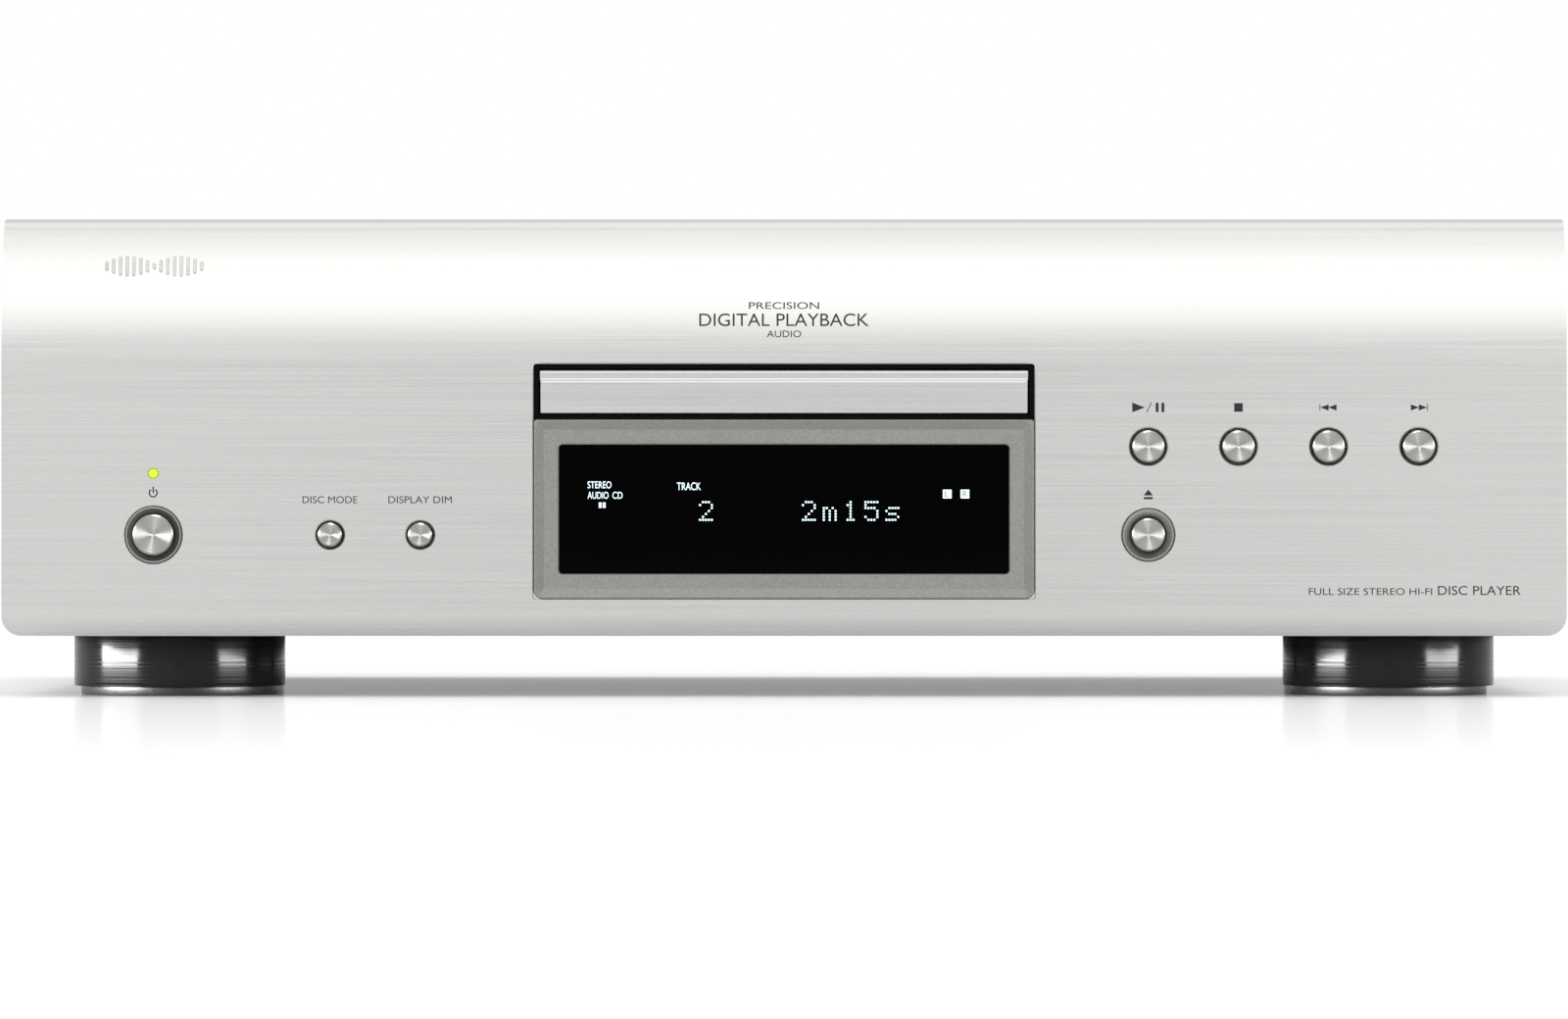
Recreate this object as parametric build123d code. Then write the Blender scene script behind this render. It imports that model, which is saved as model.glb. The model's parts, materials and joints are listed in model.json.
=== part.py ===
from build123d import *

import os
from math import acos, asin, atan, cos, degrees, pi, radians, sin, tan

# Full-width hi-fi disc player, in millimetres.
# X runs to the right as a listener sees it, Y runs to the rear and Z runs up from the floor.
# The origin is on the floor, under the centre of the whole player.

# ---------------------------------------------------------------- overall sizes
WIDTH = 434.0
DEPTH = 330.0            # button faces to the rims of the rear sockets
PANEL_HEIGHT = 116.0
UNDER_PANEL = 17.0       # air under the front panel, which the feet fill

# ---------------------------------------------------------------- clearances
SLIP = 0.15              # a fixed piece set into an opening, each side
MOVE = 0.3               # a moving piece beside a fixed one, each side
AXLE_PLAY = 0.06         # radial play of a wheel on its pin
TOOTH_PLAY = 0.16        # backlash of a gear pair, along the pitch line

# ---------------------------------------------------------------- screws, posts and shafts
SCREW_SHANK = 1.3
SCREW_HOLE = 1.5
SCREW_HEAD = 3.3
SCREW_REACH = 4.5
PANEL_POST = 3.0         # radius of the posts on the panel's back
PANEL_POST_INSET = 8.0
SUBFRAME_PAD = 2.0       # radius of the pads behind the boards
LOADER_POST = 2.6
BOARD_POST = 2.5
BOARD_MARGIN = 4.0       # board's edge to a post's axis
GEAR_PIN = 1.5
FEED_PIN = 1.0
MOTOR_SHAFT = 1.0
PINION_SHAFT = 0.75

# ---------------------------------------------------------------- front panel
PANEL_DEPTH = 18.0
PANEL_WALL = 5.0
CROWN_RADIUS = 80.0      # large roll of the panel's upper part
CROWN_ANGLE = 27.5
CROWN_NOSE = 6.0         # small roll between the crown and the flat top
HEM_RADIUS = 12.0        # roll of the panel's lower edge
HEM_ANGLE = 40.0
PANEL_LOW_CORNER = 5.3
PANEL_TOP_CORNER = 0.8
POCKET_END_WALL = 12.0
POCKET_LOW_WALL = 7.0
POCKET_TOP_WALL = 9.0
OPENING_EDGE = 0.35      # bevel round every opening of the panel

# ---------------------------------------------------------------- tray mouth and display
APERTURE_WIDTH = 139.0
APERTURE_LOW = 10.3      # above the panel's lower edge
MOUTH_HEIGHT = 15.5
DISPLAY_HEIGHT = 49.7
APERTURE_LOW_CORNER = 2.6
APERTURE_TOP_CORNER = 0.8
MOUTH_RIM = 1.75         # aperture's edge to the door, left and right
MOUTH_SILL = 1.65        # aperture's edge to the door, above and below
DOOR_THICK = 4.0
DOOR_BEVEL = 0.5
DOOR_STEP_HEIGHT = 9.0   # the set-back strip starts at this height on the door
MOUTH_DEPTH = 8.0
MOUTH_SET_BACK = 0.8
EAR_REACH = 4.0          # lugs of the front mouldings beyond the aperture
EAR_HALF_MOUTH = 4.0
EAR_HALF_DISPLAY = 15.0
RIM_LAND = 0.4           # narrow flat round the display frame
RIM_SLOPE = 2.3          # width of the frame's sloped band
RIM_SINK = 1.5           # how deep the band falls
DISPLAY_FRAME_THICK = 3.2
DISPLAY_SIDE = 7.0       # width of the display frame, left and right
DISPLAY_SILL = 6.9       # width of the display frame, above and below
WINDOW_CORNER = 1.2
WINDOW_LAP = 3.0         # flange of the window behind the frame
WINDOW_THICK = 1.5
WINDOW_SINK = 0.35       # window face behind the frame's flat
TUBE_BEHIND = 6.9        # display tube's face behind the panel's face
TUBE_RIM = 4.0

# ---------------------------------------------------------------- buttons
BUTTON_PROUD = 1.5
BUTTON_TRAVEL = 1.0
BUTTON_EDGE = 0.45
BUTTON_DISH = 0.35       # depth of the turned cone in a button's face
BUTTON_SKIRT = 0.8       # thickness and overlap of the skirt that keeps a cap in its hole
STEM_RADIUS = 1.7
SWITCH_DEPTH = 3.5
SWITCH_SIZE = 6.0
BOARD_THICK = 1.6
BUTTON_BOARD_EDGE = 10.0 # outer buttons' axes to the board's edge
SWITCH_FLOOR = 0.6       # switch body behind the bore of its plunger
ROW_PITCH = 25.0
POWER_INSET = 42.1       # power button's axis from the panel's left end
MODE_INSET = 91.1
TRANSPORT_INSET = 41.0   # last transport button's axis from the panel's right end
LOW_ROW = 28.1           # lower button row above the panel's lower edge
HIGH_ROW = 52.6          # transport row above the panel's lower edge
LED_ROW = 45.1
LED_RADIUS = 1.15
# cap radius, hole radius, dish radius of the ring insert (0 where the panel has no insert)
POWER_FORM = (5.6, 6.15, 7.9)
EJECT_FORM = (4.55, 5.1, 7.25)
TRANSPORT_FORM = (4.4, 5.1, 0.0)
SMALL_FORM = (3.3, 3.9, 0.0)
RING_LIP = 1.2           # depth of a ring insert's dish
RING_SINK = 0.15         # ring insert behind the panel's face
RING_LAND = 0.35         # flat edges of a ring insert

# ---------------------------------------------------------------- casing
SHEET = 1.2              # cover and rear panel
BASE_SHEET = 1.6
COVER_INSET = 2.0        # cover side behind the panel's end
COVER_BEND = 2.5
BASE_LIFT = 0.5          # base above the panel's lower edge
BASE_FLANGE = 14.0
SOCKET_PROUD = 9.5
VENT_COUNT = 9           # cooling slots in the base
VENT_PITCH = 12.0
VENT_WIDTH = 3.0
VENT_LENGTH = 35.0
VENT_FROM_REAR = 60.0

# ---------------------------------------------------------------- feet
FOOT_RADIUS = 29.8
FOOT_INSET = 46.3        # front foot's axis from the panel's end
REAR_FOOT_INSET = 34.0   # rear feet stand further out
FOOT_FRONT = 50.0        # foot axis behind the panel's face
FOOT_REAR = 45.0         # foot axis before the rear panel
PAD_RADIUS = 27.8
PAD_SHOWN = 2.4
PAD_SEATED = 1.6         # part of the pad inside the foot
FOOT_WALL = 4.0
FOOT_SCREW = 2.0
FOOT_BOSS = 7.0          # radius and height of the boss that the screw pulls on
FOOT_BOSS_HEIGHT = 4.0

# ---------------------------------------------------------------- disc and tray
WELL_RADIUS = 61.0
SMALL_WELL_RADIUS = 41.0
WELL_DEPTH = 4.7
SMALL_WELL_STEP = 0.8
LEAD_IN_DEPTH = 1.2      # bevel that guides the disc into its well
THUMB_RADIUS = 12.0      # finger rooms at the well's front corners
TRAY_RAIL = 4.0
RAIL_LIFT = 0.9          # rails above the tray's lowest edge
TRAY_INSET = 2.25        # tray's side inside the door's end
TRAY_LENGTH = 203.0
TRAY_RISE = 9.4          # lowest edge of the tray to its rim
TRAY_FLOOR = 1.8
TRAY_TRAVEL = 145.0
TRAY_DROP = 0.6          # tray's lowest edge above the door's lowest edge
SLOT_RADIUS = 20.0
DISC_BEHIND_FACE = 80.0

# ---------------------------------------------------------------- loader
LOADER_START = 19.0      # behind the panel's face
LOADER_LENGTH = 195.0
LOADER_FLOOR_DROP = 29.0 # loader floor below the tray's underside
LOADER_FLOOR = 3.0
LOADER_WALL = 3.0
LOADER_SKIRT = 5.0       # floor outside the guide walls
LEDGE_WIDTH = 3.8
LEDGE_THICK = 1.6
GUIDE_LIP = 1.4
BRIDGE_GAP = 5.3         # rim of the tray to the clamp bridge
BRIDGE_THICK = 1.2
BRIDGE_LENGTH = 50.0
BRIDGE_HOLE = 13.0
GEAR_MODULE = 0.8
RACK_TEETH = 24          # drive gear stage on the rack
DRIVE_TEETH = 30         # drive gear stage on the pulley's pinion
PULLEY_PINION_TEETH = 12
GEAR_LINE = 34.5         # gear axes behind the panel's face
RACK_INSET = 11.1        # rack's pitch line inside the tray's side
PULLEY_CLEAR = 5.8       # large pulley's belt line to the drive gear's axis
MOTOR_PULLEY_RADIUS = 3.0
BELT_SPAN = 48.0         # between the two pulleys' axes
BELT_SIZE = 1.2
MOTOR_RADIUS = 11.5
MOTOR_LENGTH = 20.0
CAM_TRAVEL = 16.0
CAM_THICK = 2.0
CAM_GROOVE = 2.0         # depth of the floor groove that guides the cam slide
CAM_PIN_SPREAD = 25.0
CAM_PIN_RADIUS = 1.6

# ---------------------------------------------------------------- disc mechanism
TILT = 3.5               # degrees between playing and lowered
PIVOT_BEHIND_DISC = 95.0
PIVOT_RADIUS = 2.5
FRAME_HALF = 44.0
FRAME_BAR = 5.5
FRAME_THICK = 5.0
FRAME_FRONT = 28.0       # frame's front edge before the disc axis
TABLE_RISE = 12.6        # turntable's face above the plate's underside
PLATE_THICK = 1.2
GROMMET_HEIGHT = 6.0
GROMMET_RADIUS = 4.0
SPINDLE_MOTOR_RADIUS = 12.0
SHAFT_RADIUS = 1.0
TURNTABLE_RADIUS = 15.0
DISC_LIFT = 1.7          # turntable face above the tray's disc floor
HUB_RADIUS = 7.3
HUB_HEIGHT = 2.7
CLAMPER_RADIUS = 15.0
DISC_THICK = 1.2
ROD_X = 17.0
ROD_RADIUS = 1.5
ROD_DROP = 4.0           # rods' axes below the plate
ROD_END = 6.0            # rod beyond the sled's travel at each end
LUG_SIZE = 9.0           # frame's corner lugs for the rubber mounts
SLED_HALF = 21.0
SLED_START = 14.0        # sled's front behind the disc axis
SLED_LENGTH = 31.5
SLED_TRAVEL = 34.0
LENS_BEHIND = 25.0       # lens axis behind the disc axis
LENS_TRAVEL = 0.5
SLED_MODULE = 0.5
SLED_GEAR_SMALL = 16
SLED_GEAR_LARGE = 32
SLED_PINION = 12
SLED_GEAR_BEHIND = 46.5  # sled gear's axis behind the disc axis
SLED_MOTOR_ANGLE = 65.0  # direction from the sled gear's axis to its motor's, in degrees from +X

# ---------------------------------------------------------------- electronics
BOARD_LIFT = 8.0         # boards above the base
BAY_GAP = 8.0
CORE_SIZE = (57.0, 48.0, 45.0)
LARGE_CAN = (8.0, 30.0)  # radius and height of a reservoir capacitor
SMALL_CAN = (5.0, 16.0)
CAN_PITCH = (20.0, 22.0)
SMALL_CAN_PITCH = (16.0, 18.0)
PHONO_RADIUS = 4.15
PHONO_BORE = 1.6
PHONO_PITCH = 20.0
JACK_RADIUS = 1.8
JACK_LENGTH = 14.0
JACK_COLLAR = 3.0
JACK_BODY = 5.0          # half the width of a jack's body
OPTICAL_SNOUT = 9.6
OPTICAL_MOUTH = 6.6
OPTICAL_BODY = 6.5       # half the width of the optical socket's body
PHONO_COLLAR = 6.2
INLET_WIDTH = 24.0
INLET_HEIGHT = 16.5
INLET_CAVITY = 15.0

# ---------------------------------------------------------------- places worked out from the sizes
HALF = WIDTH / 2
FRONT = -DEPTH / 2 + BUTTON_PROUD
REAR = DEPTH / 2 - SOCKET_PROUD
LOW = UNDER_PANEL
TOP = UNDER_PANEL + PANEL_HEIGHT
PANEL_BACK = FRONT + PANEL_DEPTH
CROWN_Z = TOP - CROWN_RADIUS * sin(radians(CROWN_ANGLE)) - CROWN_NOSE * (1 - sin(radians(CROWN_ANGLE)))
HEM_Z = LOW + HEM_RADIUS * sin(radians(HEM_ANGLE))

DOOR_WIDTH = APERTURE_WIDTH - 2 * MOUTH_RIM
DOOR_HEIGHT = MOUTH_HEIGHT - 2 * MOUTH_SILL
WINDOW_WIDTH = APERTURE_WIDTH - 2 * DISPLAY_SIDE
WINDOW_HEIGHT = DISPLAY_HEIGHT - 2 * DISPLAY_SILL
TRAY_WIDTH = DOOR_WIDTH - 2 * TRAY_INSET

APERTURE_HEIGHT = MOUTH_HEIGHT + DISPLAY_HEIGHT
APERTURE_Z = LOW + APERTURE_LOW + APERTURE_HEIGHT / 2
DISPLAY_Z = LOW + APERTURE_LOW + DISPLAY_HEIGHT / 2
MOUTH_Z = LOW + APERTURE_LOW + DISPLAY_HEIGHT + MOUTH_HEIGHT / 2
DOOR_LOW = MOUTH_Z - DOOR_HEIGHT / 2
DOOR_TOP = MOUTH_Z + DOOR_HEIGHT / 2

BASE_Z = LOW + BASE_LIFT
FLOOR_Z = BASE_Z + BASE_SHEET
COVER_HALF = HALF - COVER_INSET
REAR_INNER = REAR - SHEET

TRAY_LOW = DOOR_LOW + TRAY_DROP
TRAY_TOP = TRAY_LOW + TRAY_RISE
WELL_FLOOR = TRAY_TOP - WELL_DEPTH
TRAY_UNDER = WELL_FLOOR - TRAY_FLOOR
TRAY_HALF = TRAY_WIDTH / 2
TRAY_FRONT = FRONT + DOOR_THICK
TRAY_REAR = TRAY_FRONT + TRAY_LENGTH
DISC_Y = FRONT + DISC_BEHIND_FACE

LOADER_FRONT = FRONT + LOADER_START
LOADER_REAR = LOADER_FRONT + LOADER_LENGTH
GUIDE_INNER = TRAY_HALF + 2 * MOVE
GUIDE_OUTER = GUIDE_INNER + LOADER_WALL
LOADER_HALF = GUIDE_OUTER + LOADER_SKIRT
LOADER_FLOOR_TOP = TRAY_UNDER - LOADER_FLOOR_DROP
LOADER_UNDER = LOADER_FLOOR_TOP - LOADER_FLOOR
BRIDGE_Z = TRAY_TOP + BRIDGE_GAP

RACK_PITCH_LINE = TRAY_HALF - RACK_INSET
RACK_PITCH_RADIUS = GEAR_MODULE * RACK_TEETH / 2
GEAR_X = -RACK_PITCH_LINE + RACK_PITCH_RADIUS
GEAR_Y = FRONT + GEAR_LINE
PULLEY_MESH = GEAR_MODULE * (DRIVE_TEETH + PULLEY_PINION_TEETH) / 2
PULLEY_X = GEAR_X + PULLEY_MESH
PULLEY_RADIUS = PULLEY_MESH - PULLEY_CLEAR
MOTOR_X = PULLEY_X + BELT_SPAN
BIG_STAGE_Z = LOADER_FLOOR_TOP + MOVE
BIG_STAGE_THICK = 4.0
BELT_Z = BIG_STAGE_Z + BIG_STAGE_THICK + 3.5
RACK_STAGE_THICK = 2.6
RACK_STAGE_Z = TRAY_UNDER - MOVE - RACK_STAGE_THICK

FRAME_START = DISC_Y - FRAME_FRONT
PIVOT_Y = DISC_Y + PIVOT_BEHIND_DISC
FRAME_END = PIVOT_Y + 6
CAM_Y = FRAME_START - CAM_THICK - 2.0
CAM_PIN_LENGTH = 4.4
CAM_HALF = CAM_PIN_SPREAD + CAM_TRAVEL + 5
PIN_DROP = (PIVOT_Y - CAM_Y) * tan(radians(TILT))
TURNTABLE_TOP = WELL_FLOOR + DISC_LIFT
PLATE_Z = TURNTABLE_TOP - TABLE_RISE
PLATE_TOP = PLATE_Z + PLATE_THICK
ROD_Z = PLATE_Z - ROD_DROP
FRAME_HIGH = PLATE_Z - GROMMET_HEIGHT
FRAME_LOW = FRAME_HIGH - FRAME_THICK
PIVOT_Z = (FRAME_LOW + FRAME_HIGH) / 2
LENS_Y = DISC_Y + LENS_BEHIND
SLED_FRONT = DISC_Y + SLED_START
SLED_REAR = SLED_FRONT + SLED_LENGTH
SLED_LOW = ROD_Z - 4
SLED_ROOF = PLATE_Z - 0.5
SLED_HEAD_TOP = TURNTABLE_TOP - 3.5
SLED_RACK_LINE = SLED_HALF + 1.5
SLED_GEAR_X = SLED_RACK_LINE + SLED_MODULE * SLED_GEAR_SMALL / 2
SLED_GEAR_Y = DISC_Y + SLED_GEAR_BEHIND
SLED_MESH = SLED_MODULE * (SLED_GEAR_LARGE + SLED_PINION) / 2
SLED_PINION_X = SLED_GEAR_X + SLED_MESH * cos(radians(SLED_MOTOR_ANGLE))
SLED_PINION_Y = SLED_GEAR_Y + SLED_MESH * sin(radians(SLED_MOTOR_ANGLE))

BOARD_Y = FRONT + 12.0               # front face of the boards behind the panel
SWITCH_Y = BOARD_Y - SWITCH_DEPTH
SUBFRAME_Y = BOARD_Y + BOARD_THICK + 0.6
CABLE_Z = FLOOR_Z + BASE_FLANGE + 1.5
CABLE_X = (MOTOR_X - MOTOR_RADIUS - 8.5, MOTOR_X + MOTOR_RADIUS + 18.5)
BAY_INNER = LOADER_HALF + BAY_GAP
BAY_OUTER = COVER_HALF - SHEET - BAY_GAP / 2
BOARD_Z = FLOOR_Z + BOARD_LIFT
BOARD_TOP = BOARD_Z + BOARD_THICK
SOCKET_Z = BOARD_TOP + 14.0
PHONO_X = BAY_OUTER - 22.0
COAX_X = BAY_INNER + 10.0
OPTICAL_X = COAX_X - 28.0
JACK_X = OPTICAL_X - 32.0
JACK_PITCH = 16.0
INLET_X = -BAY_OUTER + 26.0
INLET_Z = BOARD_TOP + 12.0

POWER_X = -HALF + POWER_INSET
MODE_X = -HALF + MODE_INSET
NEXT_X = HALF - TRANSPORT_INSET
LOW_ROW_Z = LOW + LOW_ROW
HIGH_ROW_Z = LOW + HIGH_ROW
LED_Z = LOW + LED_ROW

# name: (x, z, form)
BUTTONS = {
    "power_button": (POWER_X, LOW_ROW_Z, POWER_FORM),
    "mode_button": (MODE_X, LOW_ROW_Z, SMALL_FORM),
    "dimmer_button": (MODE_X + ROW_PITCH, LOW_ROW_Z, SMALL_FORM),
    "play_button": (NEXT_X - 3 * ROW_PITCH, HIGH_ROW_Z, TRANSPORT_FORM),
    "stop_button": (NEXT_X - 2 * ROW_PITCH, HIGH_ROW_Z, TRANSPORT_FORM),
    "previous_button": (NEXT_X - ROW_PITCH, HIGH_ROW_Z, TRANSPORT_FORM),
    "next_button": (NEXT_X, HIGH_ROW_Z, TRANSPORT_FORM),
    "eject_button": (NEXT_X - 3 * ROW_PITCH, LOW_ROW_Z, EJECT_FORM),
}


# ---------------------------------------------------------------- small building helpers
def block(x0, x1, y0, y1, z0, z1):
    """Box between two corners."""
    centre = ((x0 + x1) / 2, (y0 + y1) / 2, (z0 + z1) / 2)
    return Pos(*centre) * Box(abs(x1 - x0), abs(y1 - y0), abs(z1 - z0))


def drum(x, y, z0, z1, radius):
    """Upright cylinder."""
    return Pos(x, y, (z0 + z1) / 2) * Cylinder(radius, z1 - z0)


def bar_y(x, z, y0, y1, radius):
    """Cylinder along Y."""
    return Pos(x, (y0 + y1) / 2, z) * Rot(90, 0, 0) * Cylinder(radius, y1 - y0)


def bar_x(y, z, x0, x1, radius):
    """Cylinder along X."""
    return Pos((x0 + x1) / 2, y, z) * Rot(0, 90, 0) * Cylinder(radius, x1 - x0)


def outline(width, height, low_corner, top_corner):
    """Rectangle with its own radius on the two lower and the two upper corners."""
    face = Rectangle(width, height)
    face = fillet(face.vertices().group_by(Axis.Y)[0], low_corner)
    return fillet(face.vertices().group_by(Axis.Y)[-1], top_corner)


def upright(face, x, z, y_front, y_back, taper=0):
    """A flat outline stood up in the XZ plane and given depth; a taper narrows it towards the front."""
    plane = Plane(origin=(x, y_back, z), x_dir=(1, 0, 0), z_dir=(0, -1, 0))
    return extrude(plane * face, y_back - y_front, taper=taper)


def flare(face, x, z, y_front, y_back, taper):
    """As upright, but narrowing towards the back."""
    plane = Plane(origin=(x, y_front, z), x_dir=(1, 0, 0), z_dir=(0, 1, 0))
    return extrude(plane * face, y_back - y_front, taper=taper)


def side_prism(points, x0, x1):
    """Closed outline of (y, z) points drawn across the player from x0 to x1."""
    face = make_face(Polyline(*points, close=True))
    return extrude(Plane.YZ.offset(x0) * face, x1 - x0)


def plan_prism(points, z0, z1):
    """Closed outline of (x, y) points raised from z0 to z1."""
    face = make_face(Polyline(*points, close=True))
    return extrude(Plane.XY.offset(z0) * face, z1 - z0)


def turned_y(profile, x, z):
    """Turns a closed outline of (radius, y) points about a line along Y."""
    face = make_face(Polyline(*profile, close=True))
    solid = revolve(face, Axis.Y)
    return Pos(x, 0, z) * solid


def turned_z(profile, x, y):
    """Turns a closed outline of (radius, z) points about an upright line."""
    face = make_face(Polyline(*profile, close=True))
    solid = revolve(Plane.XZ * face, Axis.Z)
    return Pos(x, y, 0) * solid


def together(*shapes):
    """Separate solids in one node."""
    solids = []
    for shape in shapes:
        solids += shape.solids()
    return Compound(children=solids)


# ---------------------------------------------------------------- gears
PRESSURE = radians(20)
ADDENDUM = 0.85
DEDENDUM = 1.2


def involute(angle):
    return tan(angle) - angle


def tooth_half_angle(radius, pitch_radius, teeth, play):
    """Half the angle that a tooth fills at a radius."""
    base = pitch_radius * cos(PRESSURE)
    at_pitch = pi / (2 * teeth) - play / (4 * pitch_radius)
    lean = involute(acos(min(1, base / max(radius, base))))
    return at_pitch + involute(PRESSURE) - lean


def gear_face(teeth, module, turn):
    """Outline of a spur gear; one tooth points along the angle turn, in degrees."""
    pitch_radius = teeth * module / 2
    tip = pitch_radius + ADDENDUM * module
    root = pitch_radius - DEDENDUM * module
    flank = [max(root, pitch_radius * cos(PRESSURE)), pitch_radius, (pitch_radius + tip) / 2, tip]
    points = []
    for tooth in range(teeth):
        middle = radians(turn) + 2 * pi * tooth / teeth
        edges = [(root, tooth_half_angle(flank[0], pitch_radius, teeth, TOOTH_PLAY))]
        edges += [(r, tooth_half_angle(r, pitch_radius, teeth, TOOTH_PLAY)) for r in flank]
        rising = [(r, middle - half) for r, half in edges]
        falling = [(r, middle + half) for r, half in reversed(edges)]
        points += [(r * cos(a), r * sin(a)) for r, a in rising + falling]
    kept = []
    for i, (x, y) in enumerate(points):
        if abs(x - points[i - 1][0]) + abs(y - points[i - 1][1]) > 1e-6:
            kept.append((x, y))
    return make_face(Polyline(*kept, close=True))


def gear(x, y, z0, z1, teeth, module, turn=0):
    return Pos(x, y, z0) * extrude(gear_face(teeth, module, turn), z1 - z0)


def rack(pitch_x, back_x, y0, y1, z0, z1, module, tooth_y):
    """Straight toothed bar along Y. Its teeth point to +X, and one of them is centred on tooth_y."""
    pitch = pi * module
    tip = ADDENDUM * module
    root = DEDENDUM * module
    half_pitch = pitch / 4 - TOOTH_PLAY / 4
    half_tip = half_pitch - tip * tan(PRESSURE)
    half_root = half_pitch + root * tan(PRESSURE)
    first = int((y0 + half_root - tooth_y) / pitch) + (1 if y0 + half_root > tooth_y else 0)
    last = int((y1 - half_root - tooth_y) / pitch) - (1 if y1 - half_root < tooth_y else 0)
    points = [(back_x, y0), (pitch_x - root, y0)]
    for n in range(first, last + 1):
        y = tooth_y + n * pitch
        points += [(pitch_x - root, y - half_root), (pitch_x + tip, y - half_tip)]
        points += [(pitch_x + tip, y + half_tip), (pitch_x - root, y + half_root)]
    points += [(pitch_x - root, y1), (back_x, y1)]
    return plan_prism(points, z0, z1)


# ---------------------------------------------------------------- front panel and what sits in it
def crown_edges(inset, z_low, z_top=None):
    """Front line of the panel from z_low upwards, moved inwards by inset: its edges and its last point."""
    radius = CROWN_RADIUS - inset
    centre_y = FRONT + CROWN_RADIUS
    angle = radians(CROWN_ANGLE) if z_top is None else asin((z_top - CROWN_Z) / radius)
    start = (FRONT + inset, CROWN_Z)
    middle = (centre_y - radius * cos(angle / 2), CROWN_Z + radius * sin(angle / 2))
    end = (centre_y - radius * cos(angle), CROWN_Z + radius * sin(angle))
    return [Line((FRONT + inset, z_low), start), ThreePointArc(start, middle, end)], end


def panel_section():
    """Outer section of the front panel, in (y, z). It runs on below the panel, and the outline trims it."""
    edges, crown_end = crown_edges(0, HEM_Z)
    turn = radians(CROWN_ANGLE)
    nose_y = crown_end[0] + CROWN_NOSE * cos(turn)
    nose_z = crown_end[1] - CROWN_NOSE * sin(turn)
    halfway = (turn + pi / 2) / 2
    nose_middle = (nose_y - CROWN_NOSE * cos(halfway), nose_z + CROWN_NOSE * sin(halfway))
    nose_end = (nose_y, nose_z + CROWN_NOSE)
    hem_turn = radians(HEM_ANGLE + 15)
    hem_y = FRONT + HEM_RADIUS
    hem_middle = (hem_y - HEM_RADIUS * cos(hem_turn / 2), HEM_Z - HEM_RADIUS * sin(hem_turn / 2))
    hem_end = (hem_y - HEM_RADIUS * cos(hem_turn), HEM_Z - HEM_RADIUS * sin(hem_turn))
    edges += [
        ThreePointArc(crown_end, nose_middle, nose_end),
        Line(nose_end, (PANEL_BACK, TOP)),
        Line((PANEL_BACK, TOP), (PANEL_BACK, hem_end[1])),
        Line((PANEL_BACK, hem_end[1]), hem_end),
        ThreePointArc(hem_end, hem_middle, (FRONT, HEM_Z)),
    ]
    return make_face(Wire(edges))


def panel_pocket():
    """Section of the hollow behind the panel's wall, in (y, z)."""
    low = LOW + POCKET_LOW_WALL
    top = TOP - POCKET_TOP_WALL
    edges, end = crown_edges(PANEL_WALL, low, top)
    edges += [
        Line(end, (PANEL_BACK, top)),
        Line((PANEL_BACK, top), (PANEL_BACK, low)),
        Line((PANEL_BACK, low), (FRONT + PANEL_WALL, low)),
    ]
    return make_face(Wire(edges))


def aperture_face(spare=0.0):
    return outline(
        APERTURE_WIDTH + 2 * spare,
        APERTURE_HEIGHT + 2 * spare,
        APERTURE_LOW_CORNER + spare,
        APERTURE_TOP_CORNER + spare,
    )


def round_hole(x, z, radius, y_back):
    """Round hole in the panel's face with a bevelled mouth."""
    edge = OPENING_EDGE
    mouth = [(0, FRONT - 1), (radius + edge + 1, FRONT - 1), (radius, FRONT + edge)]
    return turned_y(mouth + [(radius, y_back), (0, y_back)], x, z)


def front_panel():
    whole = extrude(Plane.YZ.offset(-HALF) * panel_section(), WIDTH)
    front_view = outline(WIDTH, PANEL_HEIGHT, PANEL_LOW_CORNER, PANEL_TOP_CORNER)
    whole &= upright(front_view, 0, (LOW + TOP) / 2, FRONT - 1, PANEL_BACK + 1)
    pocket_half = HALF - POCKET_END_WALL
    whole -= extrude(Plane.YZ.offset(-pocket_half) * panel_pocket(), 2 * pocket_half)
    whole -= upright(aperture_face(), 0, APERTURE_Z, FRONT - 1, FRONT + PANEL_DEPTH / 2)
    whole -= flare(aperture_face(OPENING_EDGE), 0, APERTURE_Z, FRONT, FRONT + OPENING_EDGE, 45)
    for x, z, (_, hole, dish) in BUTTONS.values():
        whole -= round_hole(x, z, max(hole, dish), FRONT + PANEL_WALL + 1)
    whole -= round_hole(POWER_X, LED_Z, LED_RADIUS + SLIP / 3, FRONT + PANEL_WALL + 1)
    for x, z in panel_post_places():
        whole += bar_y(x, z, FRONT + PANEL_WALL - 1, SUBFRAME_Y, PANEL_POST)
    return whole


def panel_post_places():
    """(x, z) of the posts on the panel's back that the subframe is screwed to."""
    outer = HALF - POCKET_END_WALL - PANEL_POST_INSET
    inner = APERTURE_WIDTH / 2 + 9.5
    low = LOW + POCKET_LOW_WALL + PANEL_POST_INSET
    high = CROWN_Z + 14
    return [(side * x, z) for side in (-1, 1) for x in (inner, outer) for z in (low, high)]


def button_rings():
    """Dished ring inserts round the power and eject buttons."""
    rings = []
    for name in ("power_button", "eject_button"):
        x, z, (_, hole, dish) = BUTTONS[name]
        outer = dish - SLIP
        profile = [
            (outer, FRONT + RING_SINK),
            (outer - RING_LAND, FRONT + RING_SINK),
            (hole + RING_LAND, FRONT + RING_SINK + RING_LIP),
            (hole, FRONT + RING_SINK + RING_LAND + RING_LIP),
            (hole, FRONT + PANEL_WALL + 1),
            (outer + 1.5, FRONT + PANEL_WALL + 1),
            (outer + 1.5, FRONT + PANEL_WALL),
            (outer, FRONT + PANEL_WALL),
        ]
        rings.append(turned_y(profile, x, z))
    return together(*rings)


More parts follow.
